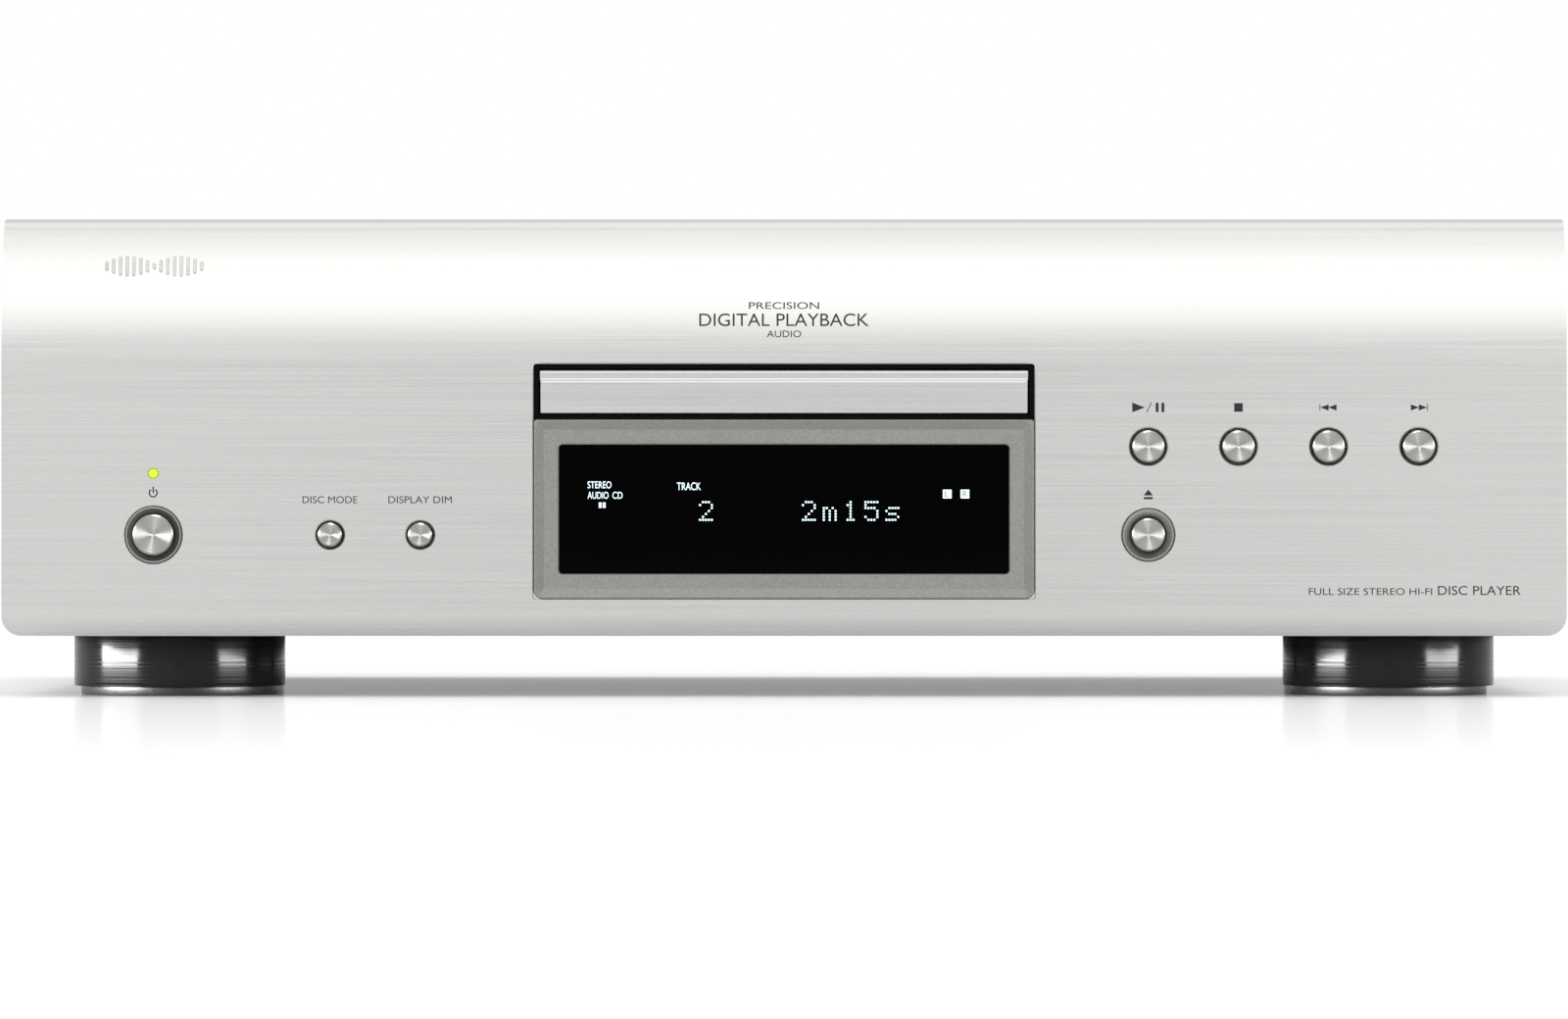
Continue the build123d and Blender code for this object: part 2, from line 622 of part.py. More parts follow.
def tray_bezel():
    face = outline(
        APERTURE_WIDTH - 2 * SLIP, MOUTH_HEIGHT - SLIP, APERTURE_TOP_CORNER, APERTURE_TOP_CORNER
    )
    ring = upright(face, 0, MOUTH_Z - SLIP / 2, FRONT + MOUTH_SET_BACK, FRONT + MOUTH_DEPTH)
    ring += mounting_ears(MOUTH_Z, EAR_HALF_MOUTH, FRONT + MOUTH_DEPTH)
    hole = outline(DOOR_WIDTH + 2 * MOVE, DOOR_HEIGHT + 2 * MOVE, 0.5, 0.5)
    return ring - upright(hole, 0, MOUTH_Z, FRONT - 1, FRONT + MOUTH_DEPTH + 1)


def mounting_ears(z, half_height, y_back):
    """Lugs at both ends of a front moulding, seated on the back of the panel's wall."""
    half = APERTURE_WIDTH / 2
    reach = half + EAR_REACH
    ears = block(-reach, reach, FRONT + PANEL_WALL, y_back, z - half_height, z + half_height)
    return ears - block(-half + 1, half - 1, FRONT, y_back + 1, 0, TOP)


def display_bezel():
    width = APERTURE_WIDTH - 2 * SLIP
    height = DISPLAY_HEIGHT - SLIP
    centre_z = DISPLAY_Z + SLIP / 2
    flat = FRONT + SLIP + RIM_SINK
    back = flat + DISPLAY_FRAME_THICK - RIM_SINK
    corner = APERTURE_LOW_CORNER - SLIP
    ring = upright(outline(width, height, corner, APERTURE_TOP_CORNER), 0, centre_z, FRONT + SLIP, back)
    well = outline(width - 2 * RIM_LAND, height - 2 * RIM_LAND, corner, corner)
    slope = degrees(atan(RIM_SLOPE / RIM_SINK))
    ring -= flare(well, 0, centre_z, FRONT + SLIP, flat, slope)
    opening = outline(WINDOW_WIDTH, WINDOW_HEIGHT, WINDOW_CORNER, WINDOW_CORNER)
    ring -= upright(opening, 0, DISPLAY_Z, FRONT, back + 1)
    bevel = WINDOW_SINK
    corner = WINDOW_CORNER + bevel
    edge = outline(WINDOW_WIDTH + 2 * bevel, WINDOW_HEIGHT + 2 * bevel, corner, corner)
    ring -= flare(edge, 0, DISPLAY_Z, flat, flat + bevel, 45)
    ends_back = FRONT + PANEL_WALL + 1.5
    for side in (-1, 1):
        inner = side * (WINDOW_WIDTH / 2 + WINDOW_LAP + SLIP)
        low, high = DISPLAY_Z - EAR_HALF_DISPLAY, DISPLAY_Z + EAR_HALF_DISPLAY
        ring += block(inner, side * width / 2, back, ends_back, low, high)
    return ring + mounting_ears(DISPLAY_Z, EAR_HALF_DISPLAY, ends_back)


def display_window():
    flat = FRONT + SLIP + RIM_SINK
    back = flat + DISPLAY_FRAME_THICK - RIM_SINK
    lens = outline(WINDOW_WIDTH - SLIP, WINDOW_HEIGHT - SLIP, WINDOW_CORNER, WINDOW_CORNER)
    flange = outline(WINDOW_WIDTH + 2 * WINDOW_LAP, WINDOW_HEIGHT + 2 * WINDOW_LAP, 2, 2)
    pane = upright(lens, 0, DISPLAY_Z, flat + WINDOW_SINK, back + WINDOW_THICK / 2)
    return pane + upright(flange, 0, DISPLAY_Z, back, back + WINDOW_THICK)


def display_tube():
    """Flat glass tube of the display, with a shallow recess in its face."""
    low_y = FRONT + TUBE_BEHIND
    half = WINDOW_WIDTH / 2 - 2.5
    half_height = WINDOW_HEIGHT / 2
    glass = block(-half, half, low_y, BOARD_Y, DISPLAY_Z - half_height, DISPLAY_Z + half_height)
    half -= TUBE_RIM
    half_height -= TUBE_RIM
    return glass - block(
        -half, half, low_y - 1, low_y + 0.5, DISPLAY_Z - half_height, DISPLAY_Z + half_height
    )


def display_board():
    half = APERTURE_WIDTH / 2 - 1.5
    half_height = WINDOW_HEIGHT / 2 + 3
    board = block(
        -half, half, BOARD_Y, BOARD_Y + BOARD_THICK, DISPLAY_Z - half_height, DISPLAY_Z + half_height
    )
    hole_x = half - BOARD_MARGIN
    return board - [bar_y(x, DISPLAY_Z, BOARD_Y - 1, BOARD_Y + 3, SCREW_HOLE) for x in (-hole_x, hole_x)]


def button_board_areas():
    """x0, x1, z0, z1 of the boards behind the left and the right buttons."""
    edge = BUTTON_BOARD_EDGE
    left = (POWER_X - edge, MODE_X + ROW_PITCH + edge, LOW_ROW_Z - edge, LED_Z + edge - 2)
    right = (NEXT_X - 3 * ROW_PITCH - edge, NEXT_X + edge, LOW_ROW_Z - edge, HIGH_ROW_Z + edge)
    return [left, right]


def button_boards():
    boards = []
    for x0, x1, z0, z1 in button_board_areas():
        boards.append(block(x0, x1, BOARD_Y, BOARD_Y + BOARD_THICK, z0, z1))
    return together(*boards)


def tact_switches():
    """Push switches on the boards; a button's stem slides in each one's bore."""
    switches = []
    for x, z, _ in BUTTONS.values():
        half = SWITCH_SIZE / 2
        body = block(x - half, x + half, SWITCH_Y, BOARD_Y, z - half, z + half)
        switches.append(body - bar_y(x, z, SWITCH_Y - 1, BOARD_Y - SWITCH_FLOOR, STEM_RADIUS + MOVE / 2))
    return together(*switches)


def button(x, z, cap, hole):
    """Turned metal cap: shallow cone in its face, skirt behind the panel, and the stem at the switch."""
    face = FRONT - BUTTON_PROUD
    skirt = FRONT + PANEL_WALL + 1.2
    back = skirt + BUTTON_SKIRT
    tip = BOARD_Y - SWITCH_FLOOR - BUTTON_TRAVEL - MOVE
    profile = [
        (0, face + BUTTON_DISH),
        (cap - BUTTON_EDGE, face),
        (cap, face + BUTTON_EDGE),
        (cap, skirt),
        (hole + BUTTON_SKIRT, skirt),
        (hole + BUTTON_SKIRT, back),
        (STEM_RADIUS, back),
        (STEM_RADIUS, tip),
        (0, tip),
    ]
    return turned_y(profile, x, z)


def status_led():
    """Light guide: a domed pin in the panel, with a block at the board."""
    pin = bar_y(POWER_X, LED_Z, FRONT - 0.1, BOARD_Y - 2.5, LED_RADIUS)
    foot = block(POWER_X - 2, POWER_X + 2, BOARD_Y - 2.5, BOARD_Y, LED_Z - 2, LED_Z + 2)
    return pin + foot


def front_subframe():
    """Black moulding that closes the panel's pocket and carries its boards."""
    half = HALF - POCKET_END_WALL - 1
    low = LOW + POCKET_LOW_WALL + 1
    top = TOP - POCKET_TOP_WALL - 1
    plate = block(-half, half, SUBFRAME_Y, PANEL_BACK, low, top)
    mouth = block(
        -DOOR_WIDTH / 2 - 2, DOOR_WIDTH / 2 + 2, SUBFRAME_Y - 1, PANEL_BACK + 1, DOOR_LOW - 2, DOOR_TOP + 2
    )
    plate -= mouth
    for x in CABLE_X:
        plate -= block(x - 12, x + 12, SUBFRAME_Y - 1, PANEL_BACK + 1, CABLE_Z - 3, CABLE_Z + 3)
    board_back = BOARD_Y + BOARD_THICK
    half = APERTURE_WIDTH / 2 - 5
    pads = [(x, z) for x in (-half, half) for z in (DISPLAY_Z - 16, DISPLAY_Z + 16)]
    edge = BOARD_MARGIN
    for x0, x1, z0, z1 in button_board_areas():
        pads += [(x, z) for x in (x0 + edge, x1 - edge) for z in (z0 + edge, z1 - edge)]
    for x, z in pads:
        plate += bar_y(x, z, board_back, SUBFRAME_Y, SUBFRAME_PAD)
    return plate


# ---------------------------------------------------------------- casing
def top_cover():
    """Folded sheet over the top and both sides, with a turned-in lower edge."""
    section = outline(2 * COVER_HALF, TOP - LOW - 2 * BASE_LIFT, 0.4, COVER_BEND)
    inner = outline(2 * (COVER_HALF - SHEET), TOP - LOW, 0.4, COVER_BEND - SHEET)
    middle_z = (LOW + 2 * BASE_LIFT + TOP) / 2
    inner_z = TOP - SHEET - (TOP - LOW) / 2
    cover = upright(section, 0, middle_z, PANEL_BACK + SLIP, REAR)
    cover -= upright(inner, 0, inner_z, PANEL_BACK, REAR + 1)
    for x, y, z in side_screw_places():
        cover -= bar_x(y, z, x - 4, x + 4, 2.0)
    return cover


def side_screw_places():
    """(x, y, z) of the two cover screws on each side."""
    z = FLOOR_Z + BASE_FLANGE - 5
    ys = (PANEL_BACK + 40, REAR - 50)
    return [(side * COVER_HALF, y, z) for side in (-1, 1) for y in ys]


def base_pan():
    """Floor sheet with a front flange, side flanges and the feet's screw holes."""
    half = COVER_HALF - SHEET - SLIP
    pan = block(-half, half, PANEL_BACK, REAR_INNER, BASE_Z, FLOOR_Z)
    pan += block(-half, half, PANEL_BACK, PANEL_BACK + BASE_SHEET, FLOOR_Z, FLOOR_Z + BASE_FLANGE)
    for side in (-1, 1):
        inner = side * (half - BASE_SHEET)
        pan += block(inner, side * half, PANEL_BACK + BASE_SHEET, REAR_INNER, FLOOR_Z, FLOOR_Z + BASE_FLANGE)
    inner = half - BASE_SHEET
    pan += block(-inner, inner, REAR_INNER - BASE_SHEET, REAR_INNER, FLOOR_Z, BOARD_Z - 1)
    for x, y in foot_places():
        pan -= drum(x, y, BASE_Z - 1, FLOOR_Z + 1, FOOT_SCREW + 0.2)
    for x, y, z in side_screw_places():
        pan -= bar_x(y, z, x - 6, x + 6, SCREW_HOLE)
    for x, z in rear_screw_places():
        pan -= bar_y(x, z, REAR_INNER - 4, REAR_INNER + 1, SCREW_HOLE)
    y0 = REAR_INNER - VENT_FROM_REAR
    for n in range(VENT_COUNT):
        x0 = (n - (VENT_COUNT - 1) / 2) * VENT_PITCH - VENT_WIDTH / 2
        pan -= block(x0, x0 + VENT_WIDTH, y0, y0 + VENT_LENGTH, BASE_Z - 1, FLOOR_Z + 1)
    return pan


def foot_places():
    front = (HALF - FOOT_INSET, FRONT + FOOT_FRONT)
    rear = (HALF - REAR_FOOT_INSET, REAR - FOOT_REAR)
    return [(side * x, y) for side in (-1, 1) for x, y in (front, rear)]


def foot_bodies():
    """Turned drums, hollow below, each on a central screw boss."""
    feet = []
    edge = 0.4
    for x, y in foot_places():
        profile = [
            (FOOT_SCREW + 0.2, BASE_Z),
            (FOOT_RADIUS, BASE_Z),
            (FOOT_RADIUS, PAD_SHOWN + edge),
            (FOOT_RADIUS - edge, PAD_SHOWN),
            (PAD_RADIUS + SLIP / 3, PAD_SHOWN),
            (PAD_RADIUS + SLIP / 3, PAD_SHOWN + PAD_SEATED),
            (FOOT_RADIUS - FOOT_WALL - 2, PAD_SHOWN + PAD_SEATED),
            (FOOT_RADIUS - FOOT_WALL - 2, BASE_Z - FOOT_WALL),
            (FOOT_BOSS, BASE_Z - FOOT_WALL),
            (FOOT_BOSS, BASE_Z - FOOT_WALL - FOOT_BOSS_HEIGHT),
            (FOOT_SCREW + 0.2, BASE_Z - FOOT_WALL - FOOT_BOSS_HEIGHT),
        ]
        feet.append(turned_z(profile, x, y))
    return together(*feet)


def foot_pads():
    """Rubber rings that the player stands on."""
    pads = []
    inner = FOOT_RADIUS - FOOT_WALL - 6
    for x, y in foot_places():
        ring = drum(x, y, 0, PAD_SHOWN + PAD_SEATED, PAD_RADIUS)
        pads.append(ring - drum(x, y, -1, PAD_SHOWN + PAD_SEATED + 1, inner))
    return together(*pads)


def foot_screws():
    screws = []
    under = BASE_Z - FOOT_WALL - FOOT_BOSS_HEIGHT
    for x, y in foot_places():
        screw = drum(x, y, under, FLOOR_Z + 1.5, FOOT_SCREW) + drum(x, y, under - 3, under, 3.8)
        screws.append(screw - block(x - 2.4, x + 2.4, y - 0.5, y + 0.5, under - 4, under - 1.6))
    return together(*screws)


def pan_screw(x, y, z, direction, shank):
    """Domed screw whose shank points along direction, a step along X or Y."""
    dome = [(0, -1.9), (SCREW_HEAD / 2, -1.7), (SCREW_HEAD - 0.5, -0.9), (SCREW_HEAD, 0)]
    profile = dome + [(shank, 0), (shank, SCREW_REACH), (0, SCREW_REACH)]
    body = revolve(make_face(Polyline(*profile, close=True)), Axis.Y)
    for turn in (0, 90):
        body -= Rot(0, turn, 0) * Box(3.0, 1.4, 0.6).locate(Location((0, -1.7, 0)))
    angle = {(1, 0): -90, (-1, 0): 90, (0, 1): 0, (0, -1): 180}[direction]
    return Pos(x, y, z) * Rot(0, 0, angle) * body


def casing_screws():
    """Cover screws on the sides and along the rear panel's top and bottom edges."""
    screws = []
    for x, y, z in side_screw_places():
        screws.append(pan_screw(x, y, z, (-1 if x > 0 else 1, 0), SCREW_SHANK))
    for x, z in rear_screw_places():
        screws.append(pan_screw(x, REAR, z, (0, -1), SCREW_SHANK))
    return together(*screws)


def rear_screw_places():
    span = COVER_HALF - 14
    top = [(x, TOP - 9) for x in (-span, 0, span)]
    low = [(x, FLOOR_Z + 4) for x in (-span, span)]
    return top + low


def inlet_face(spare=0.0):
    return outline(INLET_WIDTH + 2 * spare, INLET_HEIGHT + 2 * spare, 1 + spare, 4 + spare)


def phono_places():
    """(x, z) of the two analogue outputs and the coaxial digital output."""
    return [(PHONO_X, SOCKET_Z), (PHONO_X - PHONO_PITCH, SOCKET_Z), (COAX_X, SOCKET_Z)]


def jack_places():
    return [(JACK_X, SOCKET_Z), (JACK_X - JACK_PITCH, SOCKET_Z)]


def rear_panel():
    half = COVER_HALF - SHEET
    low, high = FLOOR_Z + SLIP, TOP - SHEET
    sheet = outline(2 * half, high - low, 0.4, COVER_BEND - SHEET + SLIP)
    panel = upright(sheet, 0, (low + high) / 2, REAR_INNER, REAR)
    panel -= upright(inlet_face(2 + SLIP), INLET_X, INLET_Z, REAR_INNER - 1, REAR + 1)
    for x, z in phono_places():
        panel -= bar_y(x, z, REAR_INNER - 1, REAR + 1, PHONO_RADIUS + SLIP)
    for x, z in jack_places():
        panel -= bar_y(x, z, REAR_INNER - 1, REAR + 1, JACK_COLLAR + 0.2)
    optical = outline(OPTICAL_SNOUT + 2 * SLIP, OPTICAL_SNOUT + 2 * SLIP, 0.8, 2)
    panel -= upright(optical, OPTICAL_X, SOCKET_Z, REAR_INNER - 1, REAR + 1)
    for x, z in rear_screw_places():
        panel -= bar_y(x, z, REAR_INNER - 1, REAR + 1, SCREW_HOLE)
    return panel


# ---------------------------------------------------------------- disc tray
def tray_door():
    """Thick front of the tray, with a set-back upper strip and bevelled edges."""
    step = DOOR_LOW + DOOR_STEP_HEIGHT
    bevel = DOOR_BEVEL
    section = [
        (FRONT + DOOR_THICK, DOOR_LOW),
        (FRONT + bevel, DOOR_LOW),
        (FRONT, DOOR_LOW + bevel),
        (FRONT, step),
        (FRONT + bevel, step + bevel),
        (FRONT + bevel, DOOR_TOP - bevel),
        (FRONT + 2 * bevel, DOOR_TOP),
        (FRONT + DOOR_THICK, DOOR_TOP),
    ]
    half = DOOR_WIDTH / 2
    plan = [
        (-half, FRONT + DOOR_THICK),
        (-half, FRONT + bevel),
        (-half + bevel, FRONT),
        (half - bevel, FRONT),
        (half, FRONT + bevel),
        (half, FRONT + DOOR_THICK),
    ]
    return side_prism(section, -half, half) & plan_prism(plan, DOOR_LOW - 1, DOOR_TOP + 1)


def disc_tray():
    """Tray with wells for both disc sizes, open towards the rear for the turntable and pickup."""
    tray = block(-TRAY_HALF, TRAY_HALF, TRAY_FRONT, TRAY_REAR, TRAY_UNDER, TRAY_TOP)
    for side in (-1, 1):
        x0, x1 = side * (TRAY_HALF - TRAY_RAIL), side * TRAY_HALF
        tray += block(x0, x1, TRAY_FRONT, TRAY_REAR, TRAY_LOW + RAIL_LIFT, TRAY_UNDER)
    tray -= drum(0, DISC_Y, WELL_FLOOR, TRAY_TOP + 1, WELL_RADIUS)
    tray -= drum(0, DISC_Y, WELL_FLOOR - SMALL_WELL_STEP, TRAY_TOP + 1, SMALL_WELL_RADIUS)
    low, high = TRAY_TOP - LEAD_IN_DEPTH, TRAY_TOP + 0.4
    lead_in = [(0, low), (WELL_RADIUS, low), (WELL_RADIUS + LEAD_IN_DEPTH + 0.4, high), (0, high)]
    tray -= turned_z(lead_in, 0, DISC_Y)
    tray -= drum(0, DISC_Y, TRAY_LOW - 1, TRAY_TOP + 1, SLOT_RADIUS)
    tray -= block(-SLOT_RADIUS, SLOT_RADIUS, DISC_Y, TRAY_REAR + 1, TRAY_LOW - 1, TRAY_TOP + 1)
    half = TRAY_HALF - 6
    tray -= block(-half, half, DISC_Y + WELL_RADIUS + 3, TRAY_REAR - 3, WELL_FLOOR, TRAY_TOP + 1)
    for side in (-1, 1):
        tray -= drum(side * 52, DISC_Y - 46, WELL_FLOOR, TRAY_TOP + 1, THUMB_RADIUS)
    rib_back = -TRAY_HALF + TRAY_RAIL + 0.5
    toothed = rack(
        -RACK_PITCH_LINE, rib_back, TRAY_FRONT + 2, GEAR_Y + TRAY_TRAVEL + 8, TRAY_LOW, TRAY_UNDER,
        GEAR_MODULE, GEAR_Y,
    )
    plain = block(-rib_back - 3, -rib_back, TRAY_FRONT + 2, TRAY_REAR - 2, TRAY_LOW, TRAY_UNDER)
    return tray + toothed + plain


# ---------------------------------------------------------------- loader
def loader_base():
    """Moulded chassis of the loader: floor, guide walls, axle posts and pivot ears."""
    inner = GUIDE_INNER
    base = block(-LOADER_HALF, LOADER_HALF, LOADER_FRONT, LOADER_REAR, LOADER_UNDER, LOADER_FLOOR_TOP)
    well_half = FRAME_HALF + 3
    base -= block(
        -well_half, well_half, FRAME_START - 0.5, LOADER_REAR - 20, LOADER_UNDER - 1, LOADER_FLOOR_TOP + 1
    )
    base -= block(
        -CAM_HALF - 1, CAM_HALF + CAM_TRAVEL + 1, CAM_Y - MOVE, CAM_Y + CAM_THICK + MOVE,
        LOADER_FLOOR_TOP - CAM_GROOVE, LOADER_FLOOR_TOP + 1,
    )
    base -= drum(MOTOR_X, GEAR_Y, LOADER_UNDER - 1, LOADER_FLOOR_TOP + 1, 4)
    ledge_top = TRAY_LOW + RAIL_LIFT - MOVE / 2
    for side in (-1, 1):
        base += block(side * inner, side * GUIDE_OUTER, LOADER_FRONT, LOADER_REAR, LOADER_FLOOR_TOP, BRIDGE_Z)
        ledge = side * (inner - LEDGE_WIDTH)
        base += block(ledge, side * inner, LOADER_FRONT, LOADER_REAR, ledge_top - LEDGE_THICK, ledge_top)
        lip = side * (inner - 2.2)
        for y in (LOADER_FRONT + 4, DISC_Y + 60, LOADER_REAR - 16):
            base += block(lip, side * inner, y, y + 12, TRAY_TOP + MOVE, TRAY_TOP + MOVE + GUIDE_LIP)
        ear_in = side * (FRAME_HALF + 4)
        ear_out = side * (FRAME_HALF + 10)
        ear = block(ear_in, ear_out, PIVOT_Y - 6, PIVOT_Y + 6, LOADER_FLOOR_TOP, PIVOT_Z + 6)
        ear -= bar_x(PIVOT_Y, PIVOT_Z, -LOADER_HALF, LOADER_HALF, PIVOT_RADIUS + AXLE_PLAY)
        base += ear
    for x, z_top in ((GEAR_X, RACK_STAGE_Z + RACK_STAGE_THICK - 0.2), (PULLEY_X, BELT_Z + 3)):
        base += drum(x, GEAR_Y, LOADER_FLOOR_TOP - 1, z_top, GEAR_PIN)
    for x, y in post_places():
        base -= drum(x, y, LOADER_UNDER - 1, LOADER_FLOOR_TOP + 1, SCREW_HOLE + 0.2)
    return base


def post_places():
    x = LOADER_HALF - LOADER_POST
    return [(side * x, y) for side in (-1, 1) for y in (LOADER_FRONT + 12, LOADER_REAR - 12)]


def standoffs():
    """Steel posts under the loader, and short ones under the circuit boards."""
    posts = []
    for x, y in post_places():
        post = drum(x, y, FLOOR_Z, LOADER_UNDER, LOADER_POST)
        posts.append(post + drum(x, y, LOADER_UNDER, LOADER_FLOOR_TOP + 2, SCREW_HOLE))
    edge = BOARD_MARGIN
    for x0, x1, y0, y1 in board_areas().values():
        for x in (x0 + edge, x1 - edge):
            for y in (y0 + edge, y1 - edge):
                posts.append(drum(x, y, FLOOR_Z, BOARD_Z, BOARD_POST))
    return together(*posts)


def drive_gear():
    """Compound gear: the small stage drives the tray's rack, the large one meets the pulley's pinion."""
    large_top = BIG_STAGE_Z + BIG_STAGE_THICK
    wheel = gear(GEAR_X, GEAR_Y, BIG_STAGE_Z, large_top, DRIVE_TEETH, GEAR_MODULE)
    space = 180 + 180 / RACK_TEETH
    wheel += gear(
        GEAR_X, GEAR_Y, RACK_STAGE_Z, RACK_STAGE_Z + RACK_STAGE_THICK, RACK_TEETH, GEAR_MODULE, space
    )
    wheel += drum(GEAR_X, GEAR_Y, large_top - 1, RACK_STAGE_Z + 1, 3.4)
    return wheel - drum(GEAR_X, GEAR_Y, 0, TOP, GEAR_PIN + AXLE_PLAY)


def grooved_wheel(x, radius):
    """Belt pulley wheel at the belt's height; radius is that of the groove's floor."""
    z0, z1 = BELT_Z - 2, BELT_Z + 2
    rim = radius + 1.3
    half = BELT_SIZE / 2 + 0.15
    profile = [
        (0, z0), (rim, z0), (rim, BELT_Z - half - 0.5), (radius, BELT_Z - half),
        (radius, BELT_Z + half), (rim, BELT_Z + half + 0.5), (rim, z1), (0, z1),
    ]
    return turned_z(profile, x, GEAR_Y)


def belt_pulley():
    turn = 180 + 180 / PULLEY_PINION_TEETH
    pinion = gear(PULLEY_X, GEAR_Y, BIG_STAGE_Z, BELT_Z - 1.5, PULLEY_PINION_TEETH, GEAR_MODULE, turn)
    wheel = grooved_wheel(PULLEY_X, PULLEY_RADIUS)
    wheel -= [drum(PULLEY_X + 7 * cos(a), GEAR_Y + 7 * sin(a), 0, TOP, 1.8) for a in (0.5, 2.6, 4.7)]
    return wheel + pinion - drum(PULLEY_X, GEAR_Y, 0, TOP, GEAR_PIN + AXLE_PLAY)


def motor_pulley():
    shaft = drum(MOTOR_X, GEAR_Y, LOADER_UNDER - 4, BELT_Z + 3, MOTOR_SHAFT)
    return grooved_wheel(MOTOR_X, MOTOR_PULLEY_RADIUS) + shaft


def belt_band(radius_gap):
    """Area inside a belt that runs round both pulleys at radius_gap outside their groove floors."""
    big = PULLEY_RADIUS + radius_gap
    small = MOTOR_PULLEY_RADIUS + radius_gap
    span = MOTOR_X - PULLEY_X
    lean = asin((big - small) / span)
    upper = [(big * sin(lean), big * cos(lean)), (span + small * sin(lean), small * cos(lean))]
    lower = [(x, -y) for x, y in reversed(upper)]
    edges = [
        Line(upper[0], upper[1]),
        ThreePointArc(upper[1], (span + small, 0), lower[0]),
        Line(lower[0], lower[1]),
        ThreePointArc(lower[1], (-big, 0), upper[0]),
    ]
    return make_face(Wire(edges))


def drive_belt():
    half = BELT_SIZE / 2
    play = 0.05
    face = belt_band(play + BELT_SIZE) - belt_band(play)
    return Pos(PULLEY_X, GEAR_Y, BELT_Z - half) * extrude(face, BELT_SIZE)


def loading_motor():
    low = LOADER_UNDER - MOTOR_LENGTH
    can = drum(MOTOR_X, GEAR_Y, low, LOADER_UNDER, MOTOR_RADIUS)
    can += drum(MOTOR_X, GEAR_Y, LOADER_UNDER, LOADER_UNDER + 1.5, 3.2)
    can += drum(MOTOR_X, GEAR_Y, low - 2, low, 4)
    return can - drum(MOTOR_X, GEAR_Y, LOADER_UNDER - 5, LOADER_UNDER + 3, MOTOR_SHAFT + AXLE_PLAY)


def cam_slide():
    """Sliding plate whose sloped slots raise and lower the front of the disc mechanism."""
    low = LOADER_FLOOR_TOP - CAM_GROOVE + MOVE
    high = PIVOT_Z + 6
    plate = block(-CAM_HALF, CAM_HALF, CAM_Y, CAM_Y + CAM_THICK, low, high)
    room = CAM_PIN_RADIUS + MOVE + SLIP
    slope = atan(PIN_DROP / CAM_TRAVEL)
    for pin_x in (-CAM_PIN_SPREAD, CAM_PIN_SPREAD):
        ends = [(pin_x, PIVOT_Z), (pin_x - CAM_TRAVEL, PIVOT_Z - PIN_DROP)]
        for x, z in ends:
            plate -= bar_y(x, z, CAM_Y - 1, CAM_Y + CAM_THICK + 1, room)
        across = (room * sin(slope), room * cos(slope))
        corners = [
            (ends[0][0] - across[0], ends[0][1] + across[1]),
            (ends[0][0] + across[0], ends[0][1] - across[1]),
            (ends[1][0] + across[0], ends[1][1] - across[1]),
            (ends[1][0] - across[0], ends[1][1] + across[1]),
        ]
        slot = make_face(Polyline(*corners, close=True))
        plate -= upright(slot, 0, 0, CAM_Y - 1, CAM_Y + CAM_THICK + 1)
    return plate


def clamp_bridge():
    half = GUIDE_OUTER
    low_y, high_y = DISC_Y - BRIDGE_LENGTH / 2, DISC_Y + BRIDGE_LENGTH / 2
    bridge = block(-half, half, low_y, high_y, BRIDGE_Z, BRIDGE_Z + BRIDGE_THICK)
    for y in (low_y, high_y - BRIDGE_THICK):
        bridge += block(-half + 6, half - 6, y, y + BRIDGE_THICK, BRIDGE_Z, BRIDGE_Z + 6)
    return bridge - drum(0, DISC_Y, BRIDGE_Z - 1, BRIDGE_Z + 9, BRIDGE_HOLE)


def disc_clamper():
    """Free-turning puck that holds the disc down on the turntable."""
    face = TURNTABLE_TOP + DISC_THICK + 0.1
    seat = BRIDGE_Z + BRIDGE_THICK + 0.4
    profile = [
        (0, face + HUB_HEIGHT + 0.6),
        (HUB_RADIUS + 0.8, face + HUB_HEIGHT + 0.6),
        (HUB_RADIUS + 0.8, face + 0.6),
        (HUB_RADIUS + 2.5, face),
        (CLAMPER_RADIUS, face),
        (CLAMPER_RADIUS, face + 3),
        (BRIDGE_HOLE - 1, face + 4),
        (BRIDGE_HOLE - 1, seat),
        (BRIDGE_HOLE + 4, seat),
        (BRIDGE_HOLE + 4, seat + 1.4),
        (0, seat + 1.4),
    ]
    return turned_z(profile, 0, DISC_Y)


# ---------------------------------------------------------------- disc mechanism
def lug_places():
    """Corners that carry the rubber mounts: (side, low y)."""
    ys = (FRAME_START + FRAME_BAR + 0.5, FRAME_END - FRAME_BAR - LUG_SIZE - 2)
    return [(side, y) for side in (-1, 1) for y in ys]


def traverse_frame():
    """Moulded frame that tips on two rear pivots and is lifted by two front pins."""
    inner = FRAME_HALF - FRAME_BAR
    frame = block(-FRAME_HALF, FRAME_HALF, FRAME_START, FRAME_END, FRAME_LOW, FRAME_HIGH)
    frame -= block(
        -inner, inner, FRAME_START + FRAME_BAR, FRAME_END - FRAME_BAR, FRAME_LOW - 1, FRAME_HIGH + 1
    )
    for side, y in lug_places():
        frame += block(side * (inner + 1), side * (inner - LUG_SIZE), y, y + LUG_SIZE, FRAME_LOW, FRAME_HIGH)
    for side in (-1, 1):
        pin = bar_x(PIVOT_Y, PIVOT_Z, FRAME_HALF - 1, FRAME_HALF + 9.5, PIVOT_RADIUS)
        frame += pin if side > 0 else mirror(pin, Plane.YZ)
        frame += bar_y(
            side * CAM_PIN_SPREAD, PIVOT_Z, FRAME_START - CAM_PIN_LENGTH, FRAME_START + 1, CAM_PIN_RADIUS
        )
    return frame


